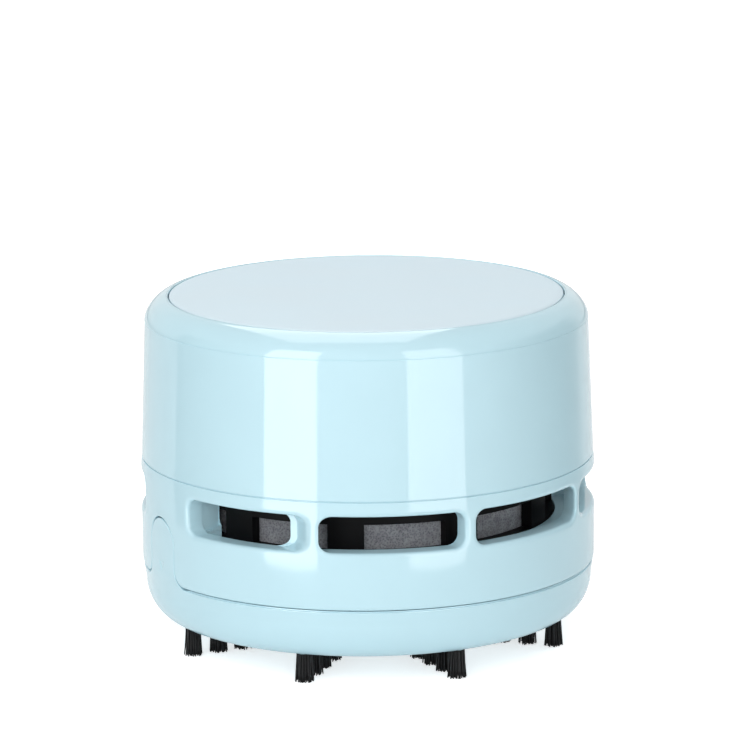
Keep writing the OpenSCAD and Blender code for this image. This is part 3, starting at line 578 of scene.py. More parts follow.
shell_blue = plastic("shell_blue_gloss", (0.505, 0.725, 0.8), 0.06, spread=0.02, depth=0.003, wave=14.0)
disc_blue = plastic("disc_blue_satin", (0.57, 0.70, 0.765), 0.42, spread=0.05, peel=0.25, depth=0.006)
print("shell and disc finishes ready")

# %% [markdown]
# ## The upper shell
# The upper shell is one moulded cap: a wall that leans in by two degrees, a fine crease
# where the wall meets the shoulder, a rounded shoulder and a soft lip round the button's
# well. It could be left as packed, but a mirror-like wall shows every facet, and mould edges
# are never sharp. So its outside is drawn again as one turned profile: the shoulder is a
# Bezier curve that still falls by nine degrees at the lip, as the outline of the real one
# does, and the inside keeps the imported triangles.

# %% Upper shell
UPPER = np.array([(39.35, 34.4), (41.35, 34.4), (40.4, 59.4)])
CAD_SHOULDER, CAD_SHOULDER_W, CAD_SHOULDER_H = np.array([36.45, 59.4]), 3.95, 4.3
WELL = np.array([(36.15, 63.7), (36.15, 57.5)])
SHOULDER = np.array([(40.4, 59.4), (40.36, 60.61), (38.8, 63.21), (36.07, 63.65)])
LIP_FOOT = (36.09, 62.4)


def ellipse_arc(middle, w, h, a0, a1, steps):
    """Points middle + (w cos a, h sin a) for a from a0 to a1 degrees."""
    return middle + [w, h] * on_circle(np.radians(np.linspace(a0, a1, steps + 1)))


def crease(at, wall, depth=0.07, half=0.07):
    """Shallow groove across the point at: down the wall by half, in by depth, and out again on the shoulder. Both of
    its ends get a guard point."""
    wall = unit(wall)
    below = [at - wall * (half + 0.1), at - wall * half]
    return np.array([*below, at + [-depth, 0.0], at + [-0.004, half], at + [-0.009, half + 0.1]])


def bezier(corners, steps):
    """Cubic Bezier curve: corners weighted by (1-t)^3, 3(1-t)^2 t, 3(1-t) t^2 and t^3."""
    t = np.linspace(0, 1, steps + 1)[:, None]
    weights = (1 - t) ** 3, 3 * (1 - t) ** 2 * t, 3 * (1 - t) * t ** 2, t ** 3
    return sum(weight * corner for weight, corner in zip(weights, corners))


foot = rounded([UPPER[0] + [-0.1, 0], UPPER[1], UPPER[2]], [0.12], guard=0.03)[:-1]
wall_levels = foot[-1] + (UPPER[2] - foot[-1]) * np.linspace(0, 1, 8)[1:-1, None]
shoulder = bezier(SHOULDER, 40)[1:]
lip_round = rounded([shoulder[-2], SHOULDER[3], LIP_FOOT, WELL[1]], [0.22, 0.1])[1:]
upper_profile = np.concatenate([foot, wall_levels, crease(UPPER[2], UPPER[2] - UPPER[1]), shoulder[:-1], lip_round])
upper_cad = np.concatenate([UPPER, ellipse_arc(CAD_SHOULDER, CAD_SHOULDER_W, CAD_SHOULDER_H, 0, 90, 24), WELL])
upper_shell = build("upper_shell_skin", [lathe(upper_profile)], shell_blue, kept_inside("upper_shell", upper_cad))
take_place(upper_shell, "upper_shell")

# %% [markdown]
# ## The power button
# The whole top disc is the button. It sits in the well with a fine gap all round, its rim
# rolls off softly over the last millimetre, and a thin collar below keeps crumbs out of the
# gap. Its face is satin, because it is moulded against a sparked steel, and it is bare.

# %% Power button
BUTTON = np.array([(0.0, 63.7), (35.8, 63.7), (35.8, 59.2), (33.8, 59.2)])
ROLL_MID, ROLL_W, ROLL_H = np.array([34.7, 63.38]), 1.16, 0.32
COLLAR, COLLAR_ROUNDS = [(35.86, 62.95), (36.0, 62.85), (36.0, 62.4), (35.8, 62.3)], [0.04, 0.05, 0.05, 0.04, 0.2]
roll = ellipse_arc(ROLL_MID, ROLL_W, ROLL_H, 90, 0, 12)
collar = rounded([roll[-1], *COLLAR, BUTTON[2], BUTTON[3]], COLLAR_ROUNDS, guard=0.02)
face = BUTTON[0] + (roll[0] - BUTTON[0]) * np.linspace(0, 1, 12)[:-1, None]
button_profile = np.concatenate([face, roll, collar[1:]])
button = build("power_button_skin", [lathe(button_profile, flip=True)], disc_blue, kept_inside("power_button", BUTTON))
take_place(button, "power_button")

# %% [markdown]
# ## The base cover
# The base cover is also the dust tray. Its wall draws in below the seam, and a large
# rounded corner leads under the object. Its top edge is broken by a small round, which
# fades out under each release tab, because tab and cover are read as one flowing shape.

# %% Base cover
BASE_TOP, BASE_CORNER = 14.4, np.array([36.04, 11.9])
BASE_R, BASE_LOW_R, BASE_W, BASE_H = 41.3, 40.94, 4.9, 6.7
BASE_WALL, TOP_ROUND, TOP_SHARP, FOOT_HALF, FOOT_FADE = 2.1, 0.18, 0.01, 7.3, 0.9
RIB_R, RIB_UP, RIB_HALF, RIB_FADE, CAD_RIM_R = [41.04, 41.02, 39.9, 39.88, 39.05], 0.2, 8.4, 0.3, 39.15


def base_grid():
    """The turned profile of the cover, rows from under its rounded corner up. The top edge is a round whose radius
    is 0.18 mm, less a step to 0.01 mm where |y| is under the tab's foot. The rib inside it ends there too."""
    a = np.arange(2 * TURNS) * np.pi / TURNS
    y = np.abs(BASE_R * np.sin(a))
    edge = TOP_SHARP + (TOP_ROUND - TOP_SHARP) * np.clip((y - FOOT_HALF) / FOOT_FADE, 0, 1)
    corner = ellipse_arc(BASE_CORNER, BASE_W, BASE_H, -90, 0, 36)
    slope = unit(np.array([BASE_R - BASE_LOW_R, BASE_TOP - BASE_CORNER[1]]))
    wall = corner[-1] + (slope * BASE_WALL) * np.linspace(0, 1, 4)[1:, None]
    shape = rounded([[0, 0] - 3 * slope, [0, 0], [-3, 0]], [1.0], guard=0.3)[1:-1]
    fixed = np.repeat(np.concatenate([corner, wall])[:, None], len(a), 1)
    round_rows = np.array([BASE_R, BASE_TOP]) + shape[:, None] * edge[None, :, None]
    ledge = np.stack(np.broadcast_arrays(np.array(RIB_R)[:, None], BASE_TOP + 0 * a), -1)
    ledge[1:3, :, 1] += RIB_UP * np.clip((y - RIB_HALF) / RIB_FADE, 0, 1)
    r_z = np.concatenate([fixed, round_rows, ledge])
    return about_z(r_z[..., 0], a, r_z[..., 1])


base_cad = ellipse_arc(BASE_CORNER, BASE_W, BASE_H, -90, 0, 24)
base_cad = np.concatenate([base_cad, [(BASE_R, BASE_TOP), (CAD_RIM_R, BASE_TOP)]])
base_cover = build("base_cover_skin", [patch(base_grid(), ring=True)], shell_blue, kept_inside("base_cover", base_cad))
take_place(base_cover, "base_cover")

# %% [markdown]
# ## The lower body
# This is the hardest shell: eight long slots with soft lips, and two arched notches for the
# release tabs, all in one round wall. It could be cut with booleans and bevelled, but
# bevels on a cut round wall pinch and spoil the shine. So the wall is drawn as a map in two
# parameters, the angle and the height. Round every slot and notch a strip of the map runs
# from a straight cell edge to the opening, rolls over the lip and goes down the tunnel. Every
# point of the wall then gets the true normal of the round wall, so reflections stay straight.

# %% Map of the wall
LOW_Z, MID_Z, CROWN_Z, EDGE_H, EDGE_W, SMALL_LIP = 14.8, 34.2, 31.7, 0.8, 0.35, 0.16
BODY_R, BODY_LEAN, CROWN, SKIN_R, IN_R, LEDGE_R = 41.55, 0.05, 0.2, 39.62, 39.55, 34.3
FRAME_R, CAD_FRAME_R = 38.2, 37.05
SLOT_Z0, SLOT_Z1, SLOT_ROUND, SLOT_LIP = 25.1, 31.6, 2.0, 0.95
CELL_Z0, CELL_Z1 = 23.6, 33.1
PILLAR, PILLAR_STEP, PILLAR_END, NOTCH_END, NOTCH_CELL, MID_SIDE = 13.1, 0.3, 14.2, 10.5, 11.3, 50.83
BAND_RIB = [(41.1, 0.16), (40.0, 0.16), (39.98, 0.0), (39.45, 0.0)]
COLUMNS_MID, COLUMNS_SIDE, COLUMNS_NOTCH, ROWS_SLOT, ROWS_LOW = 30, 30, 16, 12, 8


def wall_r(z):
    """Radius of the outer wall: 41.5 at the bottom edge, 0.05 mm more at the top, less a crown that draws the last
    2.5 mm in by up to 0.2 mm as the square of the height above its start."""
    crown = CROWN * (np.maximum(z - CROWN_Z, 0) / (MID_Z - CROWN_Z)) ** 2
    return BODY_R - BODY_LEAN * (MID_Z - z) / (MID_Z - LOW_Z - EDGE_H) - crown


def on_wall(angle, z):
    """Point of the wall at an angle in degrees and a height."""
    return about_z(wall_r(z), np.radians(angle), z)


def flat_rows(edge, outer, shares):
    """Rows of the wall at the given shares of the way from a cell's edge to the outer edge of a lip, both given as
    angles and heights."""
    return np.stack([on_wall(*(start + (end - start) * s for start, end in zip(edge, outer))) for s in shares])


def rolled(outer, corner, inner, steps=6):
    """Rows of a lip: the quadratic Bezier curve outer, corner, inner, which leaves the wall and the tunnel without a
    break."""
    t = np.linspace(0, 1, steps + 1)[:, None, None]
    return (1 - t) ** 2 * outer + 2 * t * (1 - t) * corner + t ** 2 * inner


def away_from(across, up, closed):
    """Unit normals in the map that point away from an opening whose edge runs counter-clockwise as seen from outside:
    the edge's direction turned by a right angle."""
    path = np.stack([across, up], -1)
    step = unit(np.roll(path, -1, 0) - np.roll(path, 1, 0) if closed else np.gradient(path, axis=0))
    return step[:, 1], -step[:, 0]


print("wall radius at the slots:", round(wall_r((SLOT_Z0 + SLOT_Z1) / 2), 3))

# %% Slots


def slot_path(columns, half=5):
    """Edge of a slot, counter-clockwise as seen from outside, from the middle of its lower right corner. It gives each
    point's distance from the end wall, r * (1 - |cos a|), its share of the way from right to left, and its height.
    Half a corner has half steps."""
    inset, share, up = [], [], []
    low, high = SLOT_Z0 + SLOT_ROUND, SLOT_Z1 - SLOT_ROUND
    for side, count in enumerate((ROWS_SLOT, columns, ROWS_SLOT, columns)):
        run = np.concatenate([np.zeros(half + 1), np.linspace(0, 1, count - 2 * half + 1)[1:-1], np.ones(half)])
        first, last = np.linspace(-45, 0, half + 1), np.linspace(0, 45, half + 1)[:-1]
        a = np.radians(90 * side + np.concatenate([first, np.zeros(count - 2 * half - 1), last]))
        inset.append(SLOT_ROUND * (1 - np.abs(np.cos(a))))
        share.append((0 * run, run, 1 + 0 * run, 1 - run)[side])
        level = (low + run * (high - low), high + 0 * run, high - run * (high - low), low + 0 * run)[side]
        up.append(level + SLOT_ROUND * np.sin(a))
    return np.concatenate(inset), np.concatenate(share), np.concatenate(up)


def cell_edge(right, left, columns):
    """The cell's own edge as angles and heights, in step with slot_path: up on the right, along the top, down, and
    back."""
    up, down = (np.linspace(*ends, ROWS_SLOT + 1)[:-1] for ends in ((CELL_Z0, CELL_Z1), (CELL_Z1, CELL_Z0)))
    along, back = (np.linspace(*ends, columns + 1)[:-1] for ends in ((right, left), (left, right)))
    angles = np.concatenate([np.full(ROWS_SLOT, right), along, np.full(ROWS_SLOT, left), back])
    return angles, np.concatenate([up, np.full(columns, CELL_Z1), down, np.full(columns, CELL_Z0)])


def slot_strip(right_wall, left_wall, cell, columns):
    """Rows from the cell's edge over the lip and down the tunnel. right_wall and left_wall give the angle at radius r
    of a point that lies inset from that wall, because the tunnel runs along Y and is radial at the pillar."""
    inset, share, up = slot_path(columns)

    def angle_at(r):
        """Between the two end walls, by the share."""
        return (1 - share) * right_wall(inset, r) + share * left_wall(inset, r)

    def inside(r):
        """The opening's edge carried in to radius r."""
        return about_z(r, np.radians(angle_at(r)), up)

    r0 = wall_r(up)
    away_across, away_up = away_from(np.radians(angle_at(r0)) * r0, up, True)
    outer = angle_at(r0) + np.degrees(away_across * SLOT_LIP / r0), up + away_up * SLOT_LIP
    flat = flat_rows(cell_edge(*cell, columns), outer, (0, 0.4, 0.75, 0.94))
    lip_rows = rolled(on_wall(*outer), on_wall(angle_at(r0), up), inside(r0 - 0.85 * SLOT_LIP))
    tunnel = [inside(r0 - SLOT_LIP), inside(0.5 * (r0 + FRAME_R)), inside(FRAME_R + 0 * r0)]
    grid = np.concatenate([flat, lip_rows, np.stack(tunnel)])
    return np.concatenate([grid, grid[:, :1]], 1)


def along_y(x_wall, sign):
    """Angle of a wall along Y that stands at x_wall and is inset by sign times the distance."""
    return lambda inset, r: np.degrees(np.arccos((x_wall + sign * inset) / r))


def along_radius(inset, r):
    """Angle of the pillar's wall, which points to the axis."""
    return PILLAR + np.degrees(np.arcsin(inset / r))


MID_X0, MID_X1, SIDE_X0 = 1.1, 25.4, 27.06
mid_slot = slot_strip(along_y(MID_X0, 1), along_y(MID_X1, -1), (90, MID_SIDE), COLUMNS_MID)
side_slot = slot_strip(along_y(SIDE_X0, 1), along_radius, (MID_SIDE, NOTCH_CELL), COLUMNS_SIDE)


def pillar_block():
    """Side of the pillar behind the wall's tunnel: a band round the ceiling, the side and the floor, carried along the
    radius from the frame's back to 34.3 mm. The side lies 0.3 degrees behind the tunnel's wall: the small step."""
    back = PILLAR - PILLAR_STEP
    line = np.array([(PILLAR_END, SLOT_Z1), (back, SLOT_Z1), (back, SLOT_Z0), (PILLAR_END, SLOT_Z0)])
    return np.stack([about_z(r, np.radians(line[:, 0]), line[:, 1]) for r in (FRAME_R + 0.02, LEDGE_R)])


print("slot strips:", mid_slot.shape, side_slot.shape)

# %% Notches and plain zones
NOTCH_HALF, NOTCH_FOOT, ARCH_Z, FOOT_Z, GUARD, FOOT_STEPS = 5.0, 7.9, 21.4, 17.6, 0.08, 8
EDGE_Z = LOW_Z + EDGE_H


def notch_path():
    """Edge of the notch from its right foot over the arch to its left foot, as (y, z): a short level piece, a quarter
    ellipse, an upright side and the arch, then the same mirrored. It comes with the share of its foot, 1 to 0."""
    start = wall_r(LOW_Z) * np.sin(np.radians(NOTCH_CELL))
    foot_mid, foot_w = np.array([NOTCH_FOOT, FOOT_Z]), NOTCH_FOOT - NOTCH_HALF
    quarter = ellipse_arc(foot_mid, foot_w, FOOT_Z - LOW_Z, -90, -180, FOOT_STEPS)
    side = np.stack([np.full(4, NOTCH_HALF), np.linspace(FOOT_Z, ARCH_Z, 5)[1:]], -1)
    middle = np.array([0, ARCH_Z])
    low_steps = ROWS_LOW + ROWS_SLOT - len(quarter) - len(side)
    low_arch = ellipse_arc(middle, NOTCH_HALF, NOTCH_HALF, 0, 45, low_steps)[1:]
    top_arch = ellipse_arc(middle, NOTCH_HALF, NOTCH_HALF, 45, 90, COLUMNS_NOTCH // 2)[1:]
    right = np.concatenate([[(start, LOW_Z)], quarter, side, low_arch, top_arch])
    fading = np.linspace(1, 0, FOOT_STEPS + 1) ** 1.5
    foot_share = np.concatenate([[1.0], fading, np.zeros(len(right) - len(fading) - 1)])
    path = np.concatenate([right, (right * [-1, 1])[-2::-1]])
    return path[:, 0], path[:, 1], np.concatenate([foot_share, foot_share[-2::-1]])


def notch_strip():
    """Rows from the cell's edge to the notch. The lip shrinks from the body's own bottom edge, 0.8 by 0.35 mm, at the
    feet to 0.16 mm on the sides and the arch."""
    y, up, foot = notch_path()
    lip_up, lip_in = (SMALL_LIP + (wide - SMALL_LIP) * foot for wide in (EDGE_H, EDGE_W))
    r0 = wall_r(np.maximum(up, EDGE_Z))
    rows = ROWS_LOW + ROWS_SLOT
    low_side = np.linspace(EDGE_Z, CELL_Z0, ROWS_LOW + 1)[:-1]
    up_side = np.concatenate([low_side, np.linspace(CELL_Z0, CELL_Z1, ROWS_SLOT + 1)])
    top = np.linspace(NOTCH_CELL, -NOTCH_CELL, COLUMNS_NOTCH + 1)[1:-1]
    edge_angle = np.concatenate([np.full(rows + 1, NOTCH_CELL), top, np.full(rows + 1, -NOTCH_CELL)])
    edge_up = np.concatenate([up_side, np.full(len(top), CELL_Z1), up_side[::-1]])

    def angle_at(r):
        """The notch runs in along X, and its outermost points along the radius."""
        level = y * np.where(foot == 1, r / r0, 1)
        return np.degrees(np.arcsin(level / r))

    def inside(r):
        """The notch's edge carried in to radius r."""
        return about_z(r, np.radians(angle_at(r)), up)

    away_across, away_up = away_from(y, up, False)
    away_across[[0, -1]], away_up[[0, -1]] = 0, 1
    outer_angle = angle_at(r0) + np.degrees(away_across * lip_up / r0)
    outer_up = up + away_up * lip_up
    outer_angle[[0, -1]] = NOTCH_CELL, -NOTCH_CELL
    flat = flat_rows((edge_angle, edge_up), (outer_angle, outer_up), (0, 0.35, 0.7, 0.92))
    lip_rows = rolled(on_wall(outer_angle, outer_up), inside(r0), inside(r0 - lip_in))
    tunnel = [inside(r0 - lip_in - GUARD), inside(IN_R + 0 * r0)]
    return np.concatenate([flat, lip_rows, np.stack(tunnel)])


def plain_low():
    """Wall below the slots from one notch cell to the other, its rolled bottom edge and the level under it."""
    side = np.linspace(NOTCH_CELL, MID_SIDE, COLUMNS_SIDE + 1)[:-1]
    quarter = np.concatenate([side, np.linspace(MID_SIDE, 90, COLUMNS_MID + 1)])
    angle = np.concatenate([quarter, 180 - quarter[-2::-1]])
    wall = np.stack([on_wall(angle, np.full(len(angle), z)) for z in np.linspace(CELL_Z0, EDGE_Z, ROWS_LOW + 1)])

    def level(r):
        """Row of the underside at radius r."""
        return about_z(r, np.radians(angle), LOW_Z)

    r0 = wall_r(EDGE_Z)
    edge_rows = rolled(wall[-1], level(r0), level(r0 - EDGE_W))
    return np.concatenate([wall, edge_rows, np.stack([level(r0 - EDGE_W - GUARD), level(IN_R)])])


def top_band():
    """Wall above the slots, its top edge with a 0.1 mm round and the level on top with its low rib, all the way
    round."""
    zones = (0, NOTCH_CELL, COLUMNS_NOTCH // 2), (NOTCH_CELL, MID_SIDE, COLUMNS_SIDE), (MID_SIDE, 90, COLUMNS_MID)
    quarter = np.concatenate([np.linspace(first, last, count + 1)[:-1] for first, last, count in zones])
    half_turn = np.concatenate([quarter, [90], 180 - quarter[:0:-1]])
    a = np.radians(np.concatenate([half_turn, half_turn + 180]))
    up = np.linspace(CELL_Z1, MID_Z - 0.15, 6)
    corner, rib_foot = (wall_r(MID_Z), MID_Z), (BAND_RIB[0][0] + 0.02, MID_Z)
    ledge = rounded([(wall_r(up[-1]), up[-1]), corner, rib_foot], [0.1], guard=0.02)
    rib = [(r, MID_Z + height) for r, height in BAND_RIB]
    r, z = np.concatenate([np.stack([wall_r(up[:-1]), up[:-1]], -1), ledge, rib]).T[..., None]
    return about_z(r, a, z)


def turned(grid, sx, sy):
    """The grid mirrored into a quarter; its faces are turned round where the mirror turns them inside out."""
    return patch(grid * [sx, sy, 1], flip=sx * sy < 0)


def kept_of_body():
    """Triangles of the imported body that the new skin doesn't draw: those nearer the middle than the wall and the
    tunnels. The frame behind the slots is thinner here: its radii from 37.05 to 39.55 mm are spread evenly from 38.2
    to 39.55."""
    points, triangles = node_triangles("lower_body")
    middle = points[triangles].mean(1)
    r, z = np.hypot(middle[:, 0], middle[:, 1]), middle[:, 2]
    from_x = np.degrees(np.arctan2(np.abs(middle[:, 1]), np.abs(middle[:, 0])))
    in_slots = (z > SLOT_Z0 - 0.05) & (z < SLOT_Z1 + 0.05) & (from_x > NOTCH_END)
    tunnel, pillar = r > CAD_FRAME_R + 0.01, (from_x < PILLAR_END) & (r > LEDGE_R + 0.02)
    drawn = (r > SKIN_R) | (in_slots & (tunnel | pillar))
    out = np.hypot(points[:, 0], points[:, 1])
    before, far_out = CAD_FRAME_R - 0.06, 100
    thin = np.interp(out, [0, before, before + 0.01, IN_R, far_out], [0, before, FRAME_R, IN_R, far_out])
    return points * np.stack([thin / out, thin / out, np.ones(len(out))], -1), triangles[~drawn]


quarters = [(1, 1), (-1, 1), (1, -1), (-1, -1)]
body_patches = [turned(strip, sx, sy) for strip in (mid_slot, side_slot, pillar_block()) for sx, sy in quarters]
body_patches += [turned(notch_strip(), s, s) for s in (1, -1)]
body_patches += [patch(plain_low() * [s, s, 1], flip=True) for s in (1, -1)]
body_patches += [patch(top_band(), ring=True)]
lower_body = build("lower_body_skin", body_patches, shell_blue, kept_of_body())


def true_normals(piece, radius_at, z0, z1):
    """Gives every corner that lies on the round wall between two heights the wall's own normal, (x / r, y / r, -dr/dz),
    and keeps the rest."""
    mesh = piece.data
    x, y, z = read_all(mesh.vertices, "co").T / MM
    r = np.hypot(x, y)
    on_it = (np.abs(r - radius_at(z)) < 5e-3) & (z > z0) & (z < z1)
    corner_point = read_all(mesh.loops, "vertex_index", 1, np.int32)
    normals = read_all(mesh.corner_normals, "vector")
    slope = (radius_at(z - 0.01) - radius_at(z + 0.01)) / 0.02
    wanted = unit(np.stack([x / r, y / r, slope], -1)[corner_point])
    take = on_it[corner_point] & ((normals * wanted).sum(1) > 0.6)
    normals[take] = wanted[take]
    mesh.normals_split_custom_set(normals.tolist())
    return int(take.sum())


print("corners on the true wall:", true_normals(lower_body, wall_r, EDGE_Z - 0.01, MID_Z - SMALL_LIP))
take_place(lower_body, "lower_body")

# %% [markdown]
# ## The release tabs
# The tray is held by two sprung tongues. Each rises from the tray into its arched notch and
# carries a small pressed arrow that points down. Its face follows the round wall, and swings
# in at its foot to meet the tray's wall, so the two read as one shape. It is drawn as a ladder
# of level rungs between the left and the right edge, with a thin rounded rim.

# %% Release tabs
TAB_HALF, TAB_FOOT, TAB_ARCH, TAB_EDGE, TAB_BACK_R, TAB_BLEND = 4.86, 7.9, 4.72, 0.12, 39.6, 2.0
ARROW_W, ARROW_Z0, ARROW_Z1, ARROW_DEPTH, ARROW_WALL = 2.3, 16.3, 18.3, 0.13, 0.24
FINE_HALF, FINE_COLUMNS, FINE_STEP, FACE_HALF = 1.3, 38, 0.07, 4.6


def tab_r(z):
    """Radius of the tab's face: a Hermite curve from the tray's wall, leaning out by 0.144, to the body's wall 2 mm
    up."""
    t = np.clip((z - BASE_TOP) / TAB_BLEND, 0, 1)
    low, high = BASE_R, BODY_R - BODY_LEAN
    lean = (BASE_R - BASE_LOW_R) / (BASE_TOP - BASE_CORNER[1]) * TAB_BLEND
    return low * (2 * t ** 3 - 3 * t ** 2 + 1) + lean * (t ** 3 - 2 * t ** 2 + t) + high * (3 * t ** 2 - 2 * t ** 3)


def tab_edge():
    """Right edge of the tab from its foot to the top of the arch, as (y, z) with outward normals: a quarter arc of the
    fillet, an upright side and a quarter of the arch."""
    fillet_away = -on_circle(np.radians(np.linspace(270, 180, 10)))
    fillet = [TAB_FOOT, FOOT_Z] - fillet_away * [TAB_FOOT - TAB_HALF, FOOT_Z - BASE_TOP]
    side_z = np.linspace(FOOT_Z, ARCH_Z, 22)[1:-1]
    side = np.stack([np.full(len(side_z), TAB_HALF), side_z], -1)
    arch_away = on_circle(np.radians(np.linspace(0, 90, 28)))
    edge = np.concatenate([fillet, side, [0, ARCH_Z] + arch_away * [TAB_HALF, TAB_ARCH]])
    return edge, np.concatenate([fillet_away, np.tile([1.0, 0.0], (len(side), 1)), arch_away])


def arrow_depth(y, z):
    """Depth of the pressed arrow: 0.13 mm inside the triangle, with walls 0.24 mm wide. The distance inside is the
    least of those from its three sides."""
    from_top = ARROW_Z1 - z
    half = ARROW_W / 2 * (z - ARROW_Z0) / (ARROW_Z1 - ARROW_Z0)
    from_side = (half - np.abs(y)) * np.cos(np.arctan(ARROW_W / 2 / (ARROW_Z1 - ARROW_Z0)))
    return ARROW_DEPTH * np.clip(np.minimum(from_top, from_side) / ARROW_WALL, 0, 1)


def tab_patches():
    """Face, rim and side of the tab on the +X side. A point (y, z) at depth d stands at x = sqrt((R(z) - d)^2 - y^2).
    The grid of the face is finer where the arrow is."""
    edge, away = tab_edge()
    turn_in = np.radians(np.linspace(0, 90, 5))
    foot_fade = np.clip((edge[:, 1] - BASE_TOP) / 0.5, 0, 1)[:, None]
    inner = edge - away * TAB_EDGE * foot_fade
    inner[0], inner[-1, 0] = edge[0], 0.0
    fine_z = np.unique(np.concatenate([inner[:, 1], np.arange(ARROW_Z0 - 0.15, ARROW_Z1 + 0.2, FINE_STEP)]))
    half = np.interp(fine_z, inner[:, 1], inner[:, 0])
    near_arrow = np.linspace(-FINE_HALF, FINE_HALF, FINE_COLUMNS) / FACE_HALF
    share = np.unique(np.concatenate([np.linspace(-1, 1, 29), near_arrow]))
    y, z = half[:, None] * share, np.repeat(fine_z[:, None], len(share), 1)

    def stood(y, z, depth):
        """The point on the round face, sunk in by depth."""
        return np.stack([np.sqrt((tab_r(z) - depth) ** 2 - y ** 2), y, z], -1)

    edge_y, edge_z, fade = (np.interp(fine_z, inner[:, 1], of) for of in (edge[:, 0], edge[:, 1], foot_fade[:, 0]))
    strips = [patch(stood(y, z, arrow_depth(y, z)))]
    for sign in (1, -1):
        rows = []
        for t in turn_in:
            mix, depth = np.sin(t), TAB_EDGE * (1 - np.cos(t)) * fade
            rows.append(stood(sign * (half + (edge_y - half) * mix), fine_z + (edge_z - fine_z) * mix, depth))
        rows.append(stood(sign * edge_y, edge_z, TAB_EDGE + 0.1))
        rows.append(np.stack([np.sqrt(TAB_BACK_R ** 2 - edge_y ** 2), sign * edge_y, edge_z], -1))
        strips.append(patch(np.stack(rows), flip=sign > 0))
    return strips


def kept_of_tab(node):
    """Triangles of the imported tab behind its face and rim, and those of its sole on the tray."""
    points, triangles = node_triangles(node)
    middle = points[triangles].mean(1)
    r = np.hypot(middle[:, 0], middle[:, 1])
    return points, triangles[(r < SKIN_R) | (middle[:, 2] < BASE_TOP + 0.01)]


for side, turn_sign in (("right", 1), ("left", -1)):
    node = "release_tab_" + side
    patches = [(points * [turn_sign, turn_sign, 1], faces) for points, faces in tab_patches()]
    tab = build(node + "_skin", patches, shell_blue, kept_of_tab(node))
    print("true corners:", true_normals(tab, tab_r, BASE_TOP - 0.01, ARCH_Z + TAB_HALF))
    take_place(tab, node)

# %% [markdown]
# ## The bristles
# The real tufts are folded bundles of nylon, stapled into the base, about 70 strands each.
# They leave the hole tight, spread towards the desk and end ragged, some a little short. Each
# strand is a four-sided tube of a few rings, bent by its own amount, because a few thousand
# of them have to stay light. The strip that carries a row is the colour of the base.

# %% Bristle rows
rng = np.random.default_rng(7)
TRAY_Z, STRIP_T, STRIP_HALF, TUFT_OUT, TUFT_PITCH = 5.2, 1.4, 1.45, 35.5, 4.9
ROWS, TUFTS, STRANDS, STRAND_R, TUFT_R, TIP_R, GOLDEN_ANGLE = 8, 4, 72, 0.125, 1.3, 1.68, 137.5
TAPER = np.array([1, 1, 1, 0.97, 0.9])
RINGS = len(TAPER)


def tuft_strands(middle_x):
    """Strands of one tuft: even spiral places, share sqrt(i / n) of the radius at the root and the tip. From root to
    tip each drifts by s^1.2 and bows sideways by bow * s * (1 - s), with s from 0 at the strip to 1 at the desk."""
    i = np.arange(STRANDS)
    share = np.sqrt((i + 0.5) / STRANDS)
    a = np.radians(GOLDEN_ANGLE * i) + rng.normal(0, 0.12, STRANDS)
    root = (share * TUFT_R)[:, None] * on_circle(a)
    spread = TIP_R * share * rng.uniform(0.86, 1.1, STRANDS)
    tip = spread[:, None] * on_circle(a) + rng.normal(0, 0.06, (STRANDS, 2))
    within = TIP_R * 1.08 / np.maximum(np.linalg.norm(tip, axis=1), 1e-6)
    tip *= np.minimum(1, within)[:, None]
    tip_z = np.where(rng.random(STRANDS) < 0.6, 0.0, rng.uniform(0, 0.3, STRANDS))
    s = np.linspace(0, 1, RINGS)[None, :, None]
    bow = rng.normal(0, 0.16, (STRANDS, 1, 2))
    drift = s ** 1.2
    line = root[:, None] * (1 - drift) + tip[:, None] * drift + bow * s * (1 - s)
    root_z = TRAY_Z + STRIP_T / 2
    line_z = root_z + (tip_z[:, None] - root_z) * s[..., 0]
    ring = STRAND_R * on_circle(np.radians([45, 135, 225, 315])) * TAPER[:, None, None]
    points = np.concatenate([line[:, :, None] + ring, np.repeat(line_z[:, :, None, None], 4, 2)], -1)
    points[..., 0] += middle_x
    return points


def strand_faces(count):
    """Walls and both ends of many four-sided tubes, as whole arrays."""
    base = (np.arange(count) * RINGS * 4)[:, None, None]
    walls = cells(RINGS, 4, ring=True)[:, ::-1]
    ends = np.array([[0, 1, 2, 3], 4 * RINGS - np.array([1, 2, 3, 4])])
    return (base + np.concatenate([walls, ends])[None]).reshape(-1, 4)


def strip_patch():
    """Closed strip under a row: a long round-ended outline with small rounds at its lower edge, carried up."""
    half_ring = on_circle(np.radians(np.linspace(-90, 90, 17)))
    away = np.concatenate([half_ring, -half_ring])
    middle = np.repeat([[TUFT_OUT, 0], [TUFT_OUT - (TUFTS - 1) * TUFT_PITCH, 0]], len(half_ring), 0)
    rows = [(0.02, 0), (STRIP_HALF - 0.18, 0), (STRIP_HALF - 0.05, 0.05), (STRIP_HALF, 0.18), (STRIP_HALF, STRIP_T),
            (0.02, STRIP_T)]
    return patch(np.stack([np.insert(middle + away * r, 2, TRAY_Z + z, 1) for r, z in rows]), ring=True)


